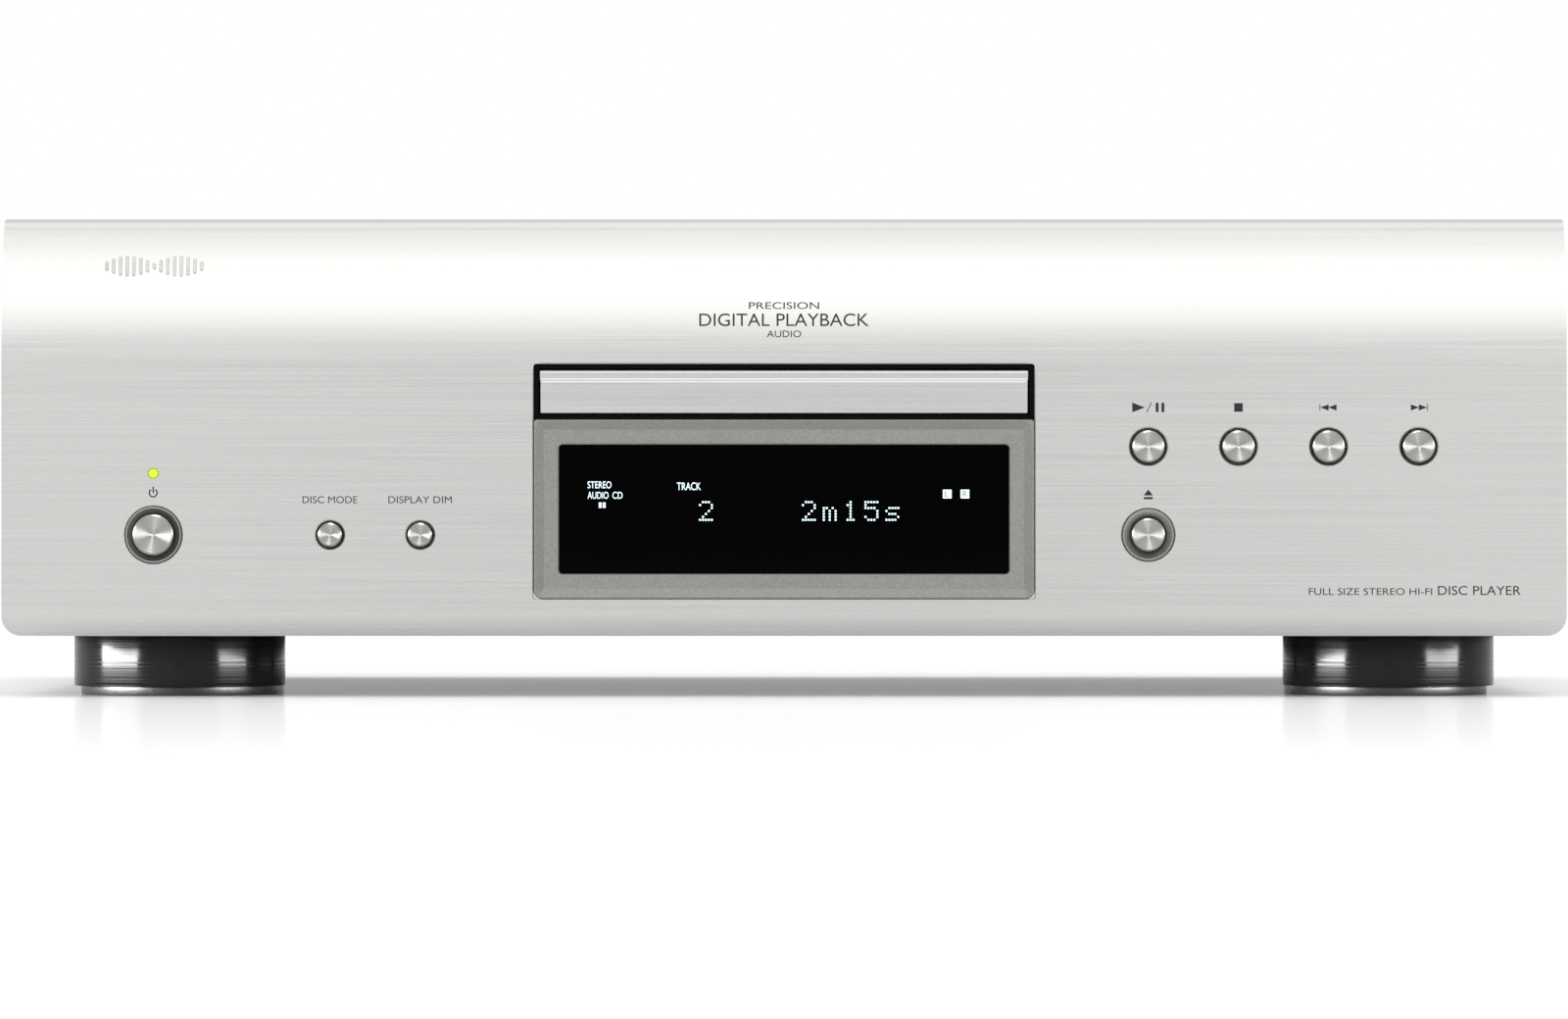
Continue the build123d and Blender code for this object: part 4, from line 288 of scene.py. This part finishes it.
def lit(name, colour, strength):
    """Glowing phosphor or lamp: its own light, a little uneven from grain in the coating."""
    material, tree, shader = blank(name, colour, 0.0, 0.5)
    shader.inputs["Emission Color"].default_value = linear(colour)
    shader.inputs["Emission Strength"].default_value = strength
    relief(tree, shader, grain(tree, (0.4, 0.4, 0.4), 1.0), 0.004)
    return material


def printed_ink(name, colour):
    """Screen-printed ink: flat, slightly rough, with the weave of the screen."""
    material, tree, shader = blank(name, colour, 0.0, 0.6)
    relief(tree, shader, grain(tree, (0.25, 0.25, 0.25), 1.0), 0.002)
    return material


def board_lacquer(name):
    """Green solder resist over copper: the tracks show as faint raised lines."""
    material, tree, shader = blank(name, "#1f5a33", 0.0, 0.35)
    tracks = add(tree, "ShaderNodeTexBrick", {"Vector": place(tree), "Scale": 180.0, "Mortar Size": 0.03})
    tree.links.new(two_tones(tree, tracks.outputs["Fac"], "#1b5230", "#2c7043"), shader.inputs["Base Color"])
    relief(tree, shader, tracks.outputs["Fac"], 0.03)
    return material


def stacked_iron(name):
    """Varnished transformer laminations: thin sheets stacked from front to back."""
    material, tree, shader = blank(name, "#3c3c40", 0.7, 0.5)
    depth = add(tree, "ShaderNodeSeparateXYZ", {0: place(tree)}).outputs[1]
    sheets = add(tree, "ShaderNodeMath", {0: depth, 1: 1000 / 0.8}, operation="MULTIPLY").outputs[0]
    edge = add(tree, "ShaderNodeMath", {0: sheets, 1: 1.0}, operation="PINGPONG").outputs[0]
    tree.links.new(two_tones(tree, edge, "#232327", "#515157"), shader.inputs["Base Color"])
    relief(tree, shader, edge, 0.05)
    return material


def make_materials():
    """Every finish of the player, by the record's slot name."""
    centres = {name: tuple(middle(name)) for name in BUTTONS}
    dishes = [centres["power_button"], centres["eject_button"]]
    finishes = {
        # clear-anodised extrusion, brushed along its length: satin, no mirror image; its hole walls carry
        # painted shade
        "front_aluminium": brushed_front(
            "brushed clear-anodised aluminium", "#c5c5c3", "#bfbfbd", shade_bores=True
        ),
        # the same sheet on the tray's door, a shade warmer
        "door_aluminium": brushed_front("brushed aluminium door skin", "#c5c3c2", "#bfbdbc", 0.27),
        # lathe-turned dish: a soft grey ramp from rim to hole
        "turned_aluminium": turned_metal("turned aluminium dish", "#a2a2a0", "#8f8f8d", dishes, 0.4, 0.5),
        # bead-blasted diecasting with cut edges
        "grey_aluminium": blasted_metal("bead-blasted grey aluminium", "#989794", "#858481", 0.4),
        "silver_paint": textured_paint("textured silver stoving paint", "#bcbcbb", "#a6a6a5", 0.4),
        "zinc_steel": plated_sheet("zinc-plated sheet steel", "#b4b6b8", "#9da0a2"),
        "screw_steel": plated_sheet("nickel-plated steel", "#c4c2bd", "#aaa8a4", 0.25),
        "motor_steel": plated_sheet("drawn steel can", "#b0b1b3", "#97989a", 0.3),
        "core_iron": stacked_iron("varnished laminations"),
        "black_abs": moulded_plastic("black ABS moulding", "#060607", "#040405", 0.55, specular=0.05),
        "tray_abs": moulded_plastic("black ABS tray moulding", "#1b1b1d", "#151517", 0.46, 0.8, 0.02),
        "white_acetal": moulded_plastic("natural acetal gear", "#e4e0d6", "#d6d2c6", 0.4, 0.5, 0.004),
        "smoked_acrylic": polished_acrylic("smoked acrylic window", "#020202"),
        "display_glass": polished_acrylic("display tube glass", "#10181a", 0.08),
        "lens_acrylic": polished_acrylic("coated pickup lens", "#38506e", 0.03),
        # tinted light guide, lit from behind
        "light_guide": lit("green light guide", "#b4e01e", 0.75),
        "circuit_board": board_lacquer("green circuit board"),
        "foot_black": turned_black("black-lacquered turned foot", "#090909", 0.17),
        "foot_rubber": moulded_plastic("moulded foot rubber", "#101011", "#0b0b0c", 0.34, 0.6, 0.008),
        "belt_rubber": moulded_plastic("ground belt rubber", "#121213", "#0c0c0d", 0.7, 0.4, 0.02),
        "brass_pulley": plated_sheet("turned brass", "#c8a860", "#b4944e", 0.28),
        "sled_zinc": blasted_metal("die-cast zinc carriage", "#9fa0a4", "#88898d", 0.42, 1.0, 1.2, 0.03),
        "winding_tape": moulded_plastic("yellow winding tape", "#d0a234", "#b98d28", 0.3, 6.0, 0.05),
        "capacitor_sleeve": moulded_plastic("shrunk capacitor sleeve", "#20294e", "#1a2242", 0.3, 2.0, 0.01),
        "heat_sink_black": blasted_metal("black-anodised heat sink", "#1e1e20", "#161618", 0.45, 0.8, 0.6),
        "phono_gold": plated_sheet("gold-plated socket rim", "#d8b36a", "#c9a255", 0.2),
        "cable_vinyl": moulded_plastic("white flat cable", "#d6d6d2", "#c2c2be", 0.45, 1.3, 0.04),
    }
    for name in BUTTONS:
        label = f"spun aluminium face of {name.replace('_', ' ')}"
        finishes[name] = turned_metal(label, "#a6a6a3", "#939390", [centres[name]], 0.44, 0.95)
    finishes["ink"] = printed_ink("dark grey screen ink", "#050505")
    finishes["rear_ink"] = printed_ink("black screen ink", "#111111")
    finishes["phosphor"] = lit("blue-white phosphor", "#cfe9f0", 0.9)
    finishes["dark_phosphor"] = printed_ink("display mask", "#020202")
    finishes["emblem"] = blasted_metal("polished relief", "#b0b0ae", "#a4a4a2", 0.3, 1.0, 3.0, 0.002)
    insulators = {
        "red": ("#a01c1c", "#8c1717"), "white": ("#d8d8d4", "#c9c9c4"), "orange": ("#c8641c", "#b55817"),
    }
    for hue, (light, dark) in insulators.items():
        ring = moulded_plastic(f"{hue} polyamide ring", light, dark, 0.4, 0.5, 0.005)
        finishes[f"{hue}_insulator"] = ring
    return finishes


# ------------------------------------------------------------------ building pieces
def piece(name, mesh_data, finish, body):
    """Gives a bmesh its object, material, body and slot."""
    bmesh.ops.recalc_face_normals(mesh_data, faces=mesh_data.faces)
    mesh = bpy.data.meshes.new(name)
    mesh_data.to_mesh(mesh)
    mesh_data.free()
    made = bpy.data.objects.new(name, mesh)
    bpy.context.scene.collection.objects.link(made)
    mesh.materials.append(FINISH[finish])
    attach(made, body)
    return made


def add_slab(build, outline, y_of, thickness):
    """A thin closed plate: outline is a list of (x, z), and y_of gives the face's Y at a height."""
    front = [build.verts.new((x, y_of(z) - thickness, z)) for x, z in outline]
    back = [build.verts.new((x, y_of(z) + PRINT, z)) for x, z in outline]
    build.faces.new(front)
    build.faces.new(list(reversed(back)))
    for i in range(len(outline)):
        j = (i + 1) % len(outline)
        build.faces.new((front[j], front[i], back[i], back[j]))


def rectangle(x, z, width, height):
    w, h = width / 2, height / 2
    return [(x - w, z - h), (x + w, z - h), (x + w, z + h), (x - w, z + h)]


def lathe(build, centre, profile, steps=64):
    """Turns a closed outline of (radius, y) about a line along Y through centre."""
    loops = []
    for n in range(steps):
        angle = 2 * pi * n / steps
        across, up = cos(angle), sin(angle)
        corners = [(centre[0] + r * across, y, centre[2] + r * up) for r, y in profile]
        loops.append([build.verts.new(corner) for corner in corners])
    for n in range(steps):
        here, there = loops[n], loops[(n + 1) % steps]
        for k in range(len(profile)):
            m = (k + 1) % len(profile)
            build.faces.new((here[k], here[m], there[m], there[k]))


def lettering(build, text, x, z, cap, width, y_of, thickness=PRINT, side=1):
    """Adds words as thin raised ink of a given capital height and width, centred on x, standing on z."""
    curve = bpy.data.curves.new("words", "FONT")
    curve.body = text
    curve.size = 1.0
    curve.extrude = 0.5
    curve.resolution_u = 6
    holder = bpy.data.objects.new("words", curve)
    bpy.context.scene.collection.objects.link(holder)
    bpy.context.view_layer.update()
    mesh = bpy.data.meshes.new_from_object(holder.evaluated_get(bpy.context.evaluated_depsgraph_get()))
    bpy.data.objects.remove(holder)
    xs = [v.co.x for v in mesh.vertices]
    ys = [v.co.y for v in mesh.vertices]
    low_x, span = min(xs), max(xs) - min(xs)
    tall = max(ys)
    for v in mesh.vertices:
        across = (v.co.x - low_x) / span - 0.5
        height = z + v.co.y / tall * cap
        front = v.co.z > 0
        depth = -thickness if front else PRINT
        v.co = (x + side * across * width, y_of(height) + side * depth, height)
    before = len(build.verts)
    build.from_mesh(mesh)
    bpy.data.meshes.remove(mesh)
    bmesh.ops.remove_doubles(build, verts=list(build.verts)[before:], dist=1e-7)


def flat_front(z):
    return FRONT


def flat_rear(z):
    return REAR


# ------------------------------------------------------------------ legends on the front
def add_triangle(build, x, z, width, height, direction):
    """Arrow head pointing left (-1) or right (1), centred on x."""
    tip, base = x + direction * width / 2, x - direction * width / 2
    add_slab(build, [(base, z - height / 2), (tip, z), (base, z + height / 2)], flat_front, PRINT)


def add_bar(build, x, z, width, height):
    add_slab(build, rectangle(x, z, width, height), flat_front, PRINT)


def transport_symbols():
    """Usual transport signs above their buttons."""
    build = bmesh.new()
    row = middle("play_button")[2] + 10.8 * MM
    x = middle("play_button")[0]
    add_triangle(build, x - 2.7 * MM, row, 3.5 * MM, 2.7 * MM, 1)
    slant = 0.45 * MM
    slash = [(x - slant - 0.12 * MM, row - 1.4 * MM), (x - slant + 0.14 * MM, row - 1.4 * MM)]
    slash += [(x + slant + 0.54 * MM, row + 1.4 * MM), (x + slant + 0.28 * MM, row + 1.4 * MM)]
    add_slab(build, slash, flat_front, PRINT)
    for step in (2.45, 4.05):
        add_bar(build, x + step * MM, row, 0.8 * MM, 2.57 * MM)
    add_bar(build, middle("stop_button")[0], row, 2.4 * MM, 2.4 * MM)
    for name, direction in (("previous_button", -1), ("next_button", 1)):
        x = middle(name)[0]
        add_triangle(build, x - 1.05 * direction * MM, row, 2.3 * MM, 1.75 * MM, direction)
        add_triangle(build, x + 1.15 * direction * MM, row, 2.3 * MM, 1.75 * MM, direction)
        add_bar(build, x + 2.42 * direction * MM, row, 0.22 * MM, 1.9 * MM)
    x, z = middle("eject_button")[0], middle("eject_button")[2] + 10.9 * MM
    add_slab(build, [(x - 1.28 * MM, z), (x + 1.28 * MM, z), (x, z + 1.65 * MM)], flat_front, PRINT)
    add_bar(build, x, z - 0.75 * MM, 2.5 * MM, 0.6 * MM)
    piece("transport_symbols", build, "ink", "chassis")


def power_symbol():
    """Open ring with a stroke through its gap."""
    build = bmesh.new()
    x, z = middle("power_button")[0], middle("power_button")[2] + 11.6 * MM
    outer, inner, gap, steps = 1.27 * MM, 0.9 * MM, radians(32), 28
    ring = []
    for n in range(steps + 1):
        angle = pi / 2 + gap + (2 * pi - 2 * gap) * n / steps
        ring.append((cos(angle), sin(angle)))
    outline = [(x + outer * c, z + outer * s) for c, s in ring]
    outline += [(x + inner * c, z + inner * s) for c, s in reversed(ring)]
    add_slab(build, outline, flat_front, PRINT)
    add_bar(build, x, z + 0.85 * MM, 0.38 * MM, 1.75 * MM)
    piece("power_symbol", build, "ink", "chassis")


def front_words():
    """Generic words on the panel."""
    build = bmesh.new()
    row = middle("mode_button")[2] + 8.75 * MM
    lettering(build, "DISC MODE", middle("mode_button")[0], row, 1.95 * MM, 15.2 * MM, flat_front)
    lettering(build, "DISPLAY DIM", middle("dimmer_button")[0], row, 1.95 * MM, 17.6 * MM, flat_front)
    low = PANEL_LOW[2] + 11.4 * MM
    right = HALF_WIDTH - 12.6 * MM
    lettering(build, "DISC PLAYER", right - 11.6 * MM, low, 2.5 * MM, 23.0 * MM, flat_front)
    lettering(build, "FULL SIZE STEREO HI-FI", right - 41.8 * MM, low, 1.9 * MM, 34.2 * MM, flat_front)
    piece("front_words", build, "ink", "chassis")
    build = bmesh.new()
    for text, height, cap, width in (
        ("PRECISION", 90.75, 1.9, 19.5), ("DIGITAL PLAYBACK", 86.0, 3.5, 47.0), ("AUDIO", 82.9, 1.85, 9.5),
    ):
        lettering(build, text, 0.0, PANEL_LOW[2] + height * MM, cap * MM, width * MM, panel_face)
    piece("crown_words", build, "ink", "chassis")


def wave_emblem():
    """Small raised emblem: upright bars whose heights swell and fall."""
    build = bmesh.new()
    centre_x, centre_z = -HALF_WIDTH + 42.1 * MM, PANEL_TOP - 13.2 * MM
    count, span, tall = 15, 28.2 * MM, 5.8 * MM
    for n in range(count):
        share = (n + 0.5) / count
        height = tall * (0.28 + 0.72 * abs(sin(2.0 * pi * share)))
        x = centre_x + (share - 0.5) * span
        width = 0.95 * MM
        outline = []
        for corner, sz in enumerate((1, 1, -1, -1)):
            for k in range(4):
                angle = corner * pi / 2 + k * pi / 6
                round_off = width / 2
                end = centre_z + sz * (height / 2 - round_off)
                outline.append((x + round_off * cos(angle), end + round_off * sin(angle)))
        add_slab(build, outline, panel_face, 0.3 * MM)
    made = piece("wave_emblem", build, "emblem", "chassis")
    bevel = made.modifiers.new("rounded edges", "BEVEL")
    bevel.width = 0.12 * MM
    bevel.segments = 2


# ------------------------------------------------------------------ what the display shows
DOTS = {
    "1": ("..#..", ".##..", "..#..", "..#..", "..#..", "..#..", ".###."),
    "2": (".###.", "#...#", "....#", "...#.", "..#..", ".#...", "#####"),
    "5": ("#####", "#....", "####.", "....#", "....#", "#...#", ".###."),
    "m": (".....", ".....", "##.#.", "#.#.#", "#.#.#", "#.#.#", "#.#.#"),
    "s": (".....", ".....", ".####", "#....", ".###.", "....#", "####."),
}
DOT_PITCH = 0.82 * MM
DOT = 0.52 * MM
DISPLAY_FACE = WINDOW_LOW[1]


def on_window(z):
    return DISPLAY_FACE


def add_dots(build, text, left, top, pitch):
    """Writes characters of five by seven square dots."""
    for n, letter in enumerate(text):
        for row, line in enumerate(DOTS[letter]):
            for column, mark in enumerate(line):
                if mark == "#":
                    x = left + n * pitch + column * DOT_PITCH
                    add_slab(build, rectangle(x, top - row * DOT_PITCH, DOT, DOT), on_window, PRINT)


def display_content():
    """Lit characters, just as they glow through the window."""
    centre_z = (WINDOW_LOW[2] + WINDOW_HIGH[2]) / 2
    top = centre_z + 2.0 * MM
    build = bmesh.new()
    add_dots(build, "2", -23.3 * MM, top, 0)
    add_dots(build, "2m15s", 5.25 * MM, top, 5.79 * MM)
    small = centre_z + 5.35 * MM
    lettering(build, "TRACK", -26.4 * MM, small, 2.1 * MM, 6.6 * MM, on_window)
    lettering(build, "STEREO", -51.2 * MM, small + 0.5 * MM, 1.9 * MM, 6.6 * MM, on_window)
    lettering(build, "AUDIO", -51.6 * MM, small - 2.4 * MM, 1.9 * MM, 5.8 * MM, on_window)
    lettering(build, "CD", -46.2 * MM, small - 2.4 * MM, 1.9 * MM, 2.8 * MM, on_window)
    for x in (-51.0, -49.9):
        add_slab(build, rectangle(x * MM, small - 4.2 * MM, 0.75 * MM, 1.5 * MM), on_window, PRINT)
    for x in (45.3, 50.2):
        add_slab(build, rectangle(x * MM, small - 1.1 * MM, 2.4 * MM, 2.4 * MM), on_window, PRINT)
    piece("display_characters", build, "phosphor", "chassis")
    build = bmesh.new()
    for x, text in ((45.3, "L"), (50.2, "R")):
        lettering(build, text, x * MM, small - 1.95 * MM, 1.75 * MM, 1.25 * MM, on_window, 2 * PRINT)
    piece("channel_letters", build, "dark_phosphor", "chassis")


# ------------------------------------------------------------------ sockets and words on the rear
SOCKET_INSET = 6.2 * MM                    # a phono socket's axis from the end of its node's box
OUTPUT_SPACING = 20 * MM                   # between the two analogue outputs


def socket_rings():
    """Coloured rings at the foot of the phono sockets."""
    low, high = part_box("phono_sockets")
    right = high[0] - SOCKET_INSET
    height = high[2] - 7 * MM
    left = low[0] + SOCKET_INSET
    rings = (
        ("right_output_ring", right, "red_insulator"),
        ("left_output_ring", right - OUTPUT_SPACING, "white_insulator"),
        ("coaxial_output_ring", left, "orange_insulator"),
    )
    for name, x, finish in rings:
        build = bmesh.new()
        inner, outer = 4.2 * MM, 5.1 * MM
        start, stop = REAR + 2.05 * MM, REAR + 3.6 * MM
        profile = [(inner, start), (outer, start), (outer, stop - 0.4 * MM)]
        profile += [(outer - 0.3 * MM, stop), (inner, stop)]
        lathe(build, (x, 0, height), profile)
        piece(name, build, finish, "chassis")


def rear_words():
    """Generic words beside the sockets, read from behind."""
    build = bmesh.new()
    low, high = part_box("phono_sockets")
    right, left = high[0] - SOCKET_INSET, low[0] + SOCKET_INSET
    jacks_low, jacks_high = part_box("digital_jacks")
    optical = jacks_high[0] - 6.5 * MM
    inlet = middle("power_inlet")
    above, below = high[2] + 4 * MM, high[2] - 18 * MM
    words = [
        ("ANALOG OUT", right - OUTPUT_SPACING / 2, above, 24),
        ("R", right, below, 1.6), ("L", right - OUTPUT_SPACING, below, 1.4),
        ("COAXIAL", left, above, 13), ("OPTICAL", optical, above, 13),
        ("DIGITAL OUT", (left + optical) / 2, above + 5 * MM, 24),
        ("IN", jacks_low[0] + 21 * MM, above, 3), ("OUT", jacks_low[0] + 5 * MM, above, 5),
        ("REMOTE", jacks_low[0] + 13 * MM, above + 5 * MM, 14), ("AC IN", inlet[0], inlet[2] + 16 * MM, 9),
    ]
    for text, x, z, width in words:
        lettering(build, text, x, z, 2.2 * MM, width * MM, flat_rear, PRINT, side=-1)
    piece("rear_words", build, "rear_ink", "chassis")


# ------------------------------------------------------------------ the CAD nodes' finishes
BUTTONS = [s["node"] for s in frame["record"]["subparts"] if s["node"].endswith("_button")]


def finish_nodes():
    """Each CAD node takes the finish of its slot; the buttons have one each, centred on their own axes."""
    for entry in frame["record"]["subparts"]:
        node = frame["nodes"][entry["node"]]
        name = entry["node"] if entry["node"] in BUTTONS else entry["material_slot"]
        node.data.materials.clear()
        node.data.materials.append(FINISH[name])


# how far each piece's sharp edges are broken, in mm: cut metal and mouldings never end in a knife edge
EDGE_BREAKS = {
    "tray_door": 0.3, "display_bezel": 0.3, "foot_bodies": 0.35, "foot_pads": 0.4,
    "disc_tray": 0.25, "top_cover": 0.3, "rear_panel": 0.15, "power_inlet": 0.4,
    "digital_jacks": 0.2, "tray_bezel": 0.15, "base_pan": 0.25,
}


def break_edges():
    """Rounds the sharp edges, after joining the corners that the faces of a solid share."""
    for name, width in EDGE_BREAKS.items():
        node = frame["nodes"][name]
        weld = node.modifiers.new("joined corners", "WELD")
        weld.merge_threshold = 0.001 * MM
        bevel = node.modifiers.new("broken edges", "BEVEL")
        bevel.limit_method = "ANGLE"
        bevel.angle_limit = radians(40)
        bevel.width = width * MM
        bevel.segments = 2
        bevel.use_clamp_overlap = True


# ------------------------------------------------------------------ studio
CAMERA_DISTANCE = 2.6
CAMERA_HEIGHT = 52.1 * MM
CAMERA_LENS = 215.3


def softbox(name, place_at, aim, width, height, radiance):
    """Soft lamp that faces a point; radiance is how bright it looks, with the room at 1."""
    light = bpy.data.lights.new(name, "AREA")
    light.shape = "RECTANGLE"
    light.size = width
    light.size_y = height
    light.energy = radiance * pi * width * height
    lamp = bpy.data.objects.new(name, light)
    lamp.location = place_at
    lamp.rotation_euler = (Vector(aim) - Vector(place_at)).to_track_quat("-Z", "Y").to_euler()
    lamp.visible_camera = False
    bpy.context.scene.collection.objects.link(lamp)
    return lamp


def only_light(names, lamps):
    """Makes lamps light the named nodes and nothing else."""
    receivers = bpy.data.collections.new("lit by " + lamps[0].name)
    for name in names:
        receivers.objects.link(frame["nodes"][name])
    for lamp in lamps:
        lamp.light_linking.receiver_collection = receivers


def flat_sheet(name, corners, material):
    mesh = bpy.data.meshes.new(name)
    mesh.from_pydata(corners, [], [(0, 1, 2, 3)])
    mesh.materials.append(material)
    sheet = bpy.data.objects.new(name, mesh)
    bpy.context.scene.collection.objects.link(sheet)
    return sheet


def studio():
    """Pale floor, even white room, and soft lamps in front, above and at both sides."""
    world = bpy.data.worlds.new("white room")
    world.use_nodes = True
    world.node_tree.nodes["Background"].inputs[0].default_value = (1, 1, 1, 1)
    world.node_tree.nodes["Background"].inputs[1].default_value = 1.0
    bpy.context.scene.world = world

    # matt white board with a faint gloss that only shows at a low angle
    material, tree, shader = blank("pale floor", "#ffffff", 0.0, 0.9)
    gloss = add(tree, "ShaderNodeBsdfGlossy", {"Color": (1, 1, 1, 1), "Roughness": 0.11})
    grazing = add(tree, "ShaderNodeFresnel", {"IOR": 1.4}).outputs[0]
    share = add(tree, "ShaderNodeMath", {0: grazing, 1: 0.38}, operation="MULTIPLY").outputs[0]
    mix = add(tree, "ShaderNodeMixShader", {0: share, 1: shader.outputs[0], 2: gloss.outputs[0]})
    tree.links.new(mix.outputs[0], tree.nodes["Material Output"].inputs[0])
    far = 12.0
    flat_sheet("floor", [(-far, -far, 0), (far, -far, 0), (far, far, 0), (-far, far, 0)], material)

    # dark card round the lens, so that polished black reads black; nothing sees it but reflections
    card_material, _, _ = blank("black card", "#000000", 0.0, 1.0)
    y = FRONT - CAMERA_DISTANCE
    side, top = 0.2, 0.12
    corners = [(-side, y, 0.0), (side, y, 0.0), (side, y, top), (-side, y, top)]
    card = flat_sheet("lens_card", corners, card_material)
    card.visible_camera = False
    card.visible_diffuse = False
    card.visible_shadow = False

    target = (0, FRONT, 0.07)
    softbox("front_softbox", (0, FRONT - 1.68, 1.22), target, 2.2, 1.35, 1.1)
    softbox("top_softbox", (0, -0.1, 2.2), (0, 0, 0), 2.4, 1.8, 0.6)
    # lamps that light one kind of polished piece each: bands on the feet, bright sectors on the spun buttons
    left, right = (-1.4, FRONT - 0.5, 0.2), (1.4, FRONT - 0.72, 0.2)
    left_foot, right_foot = (-0.16, FRONT, 0.02), (0.16, FRONT, 0.02)
    only_light(("foot_bodies", "foot_pads"), (
        softbox("left_foot_strip", left, left_foot, 1.15, 0.5, 112.0),
        softbox("right_foot_strip", right, right_foot, 1.05, 0.5, 56.0),
    ))
    only_light(BUTTONS, (
        softbox("left_button_strip", left, left_foot, 1.15, 0.5, 24.0),
        softbox("right_button_strip", right, right_foot, 1.05, 0.5, 12.0),
        softbox("high_button_strip", (0, FRONT - 0.4, 1.5), (0, FRONT, 0.06), 0.5, 0.4, 40.0),
    ))


def camera():
    """Level camera on the player's centre line, far back, with a long lens."""
    data = bpy.data.cameras.new("camera")
    data.sensor_width = 36.0
    data.lens = CAMERA_LENS
    data.clip_end = 60.0
    eye = bpy.data.objects.new("camera", data)
    eye.location = (0, FRONT - CAMERA_DISTANCE, CAMERA_HEIGHT)
    eye.rotation_euler = (radians(90), 0, 0)
    bpy.context.scene.collection.objects.link(eye)
    bpy.context.scene.camera = eye
    bpy.context.scene.view_settings.view_transform = "Standard"


FINISH = make_materials()
finish_nodes()
break_edges()
transport_symbols()
power_symbol()
front_words()
wave_emblem()
display_content()
socket_rings()
rear_words()
studio()
camera()
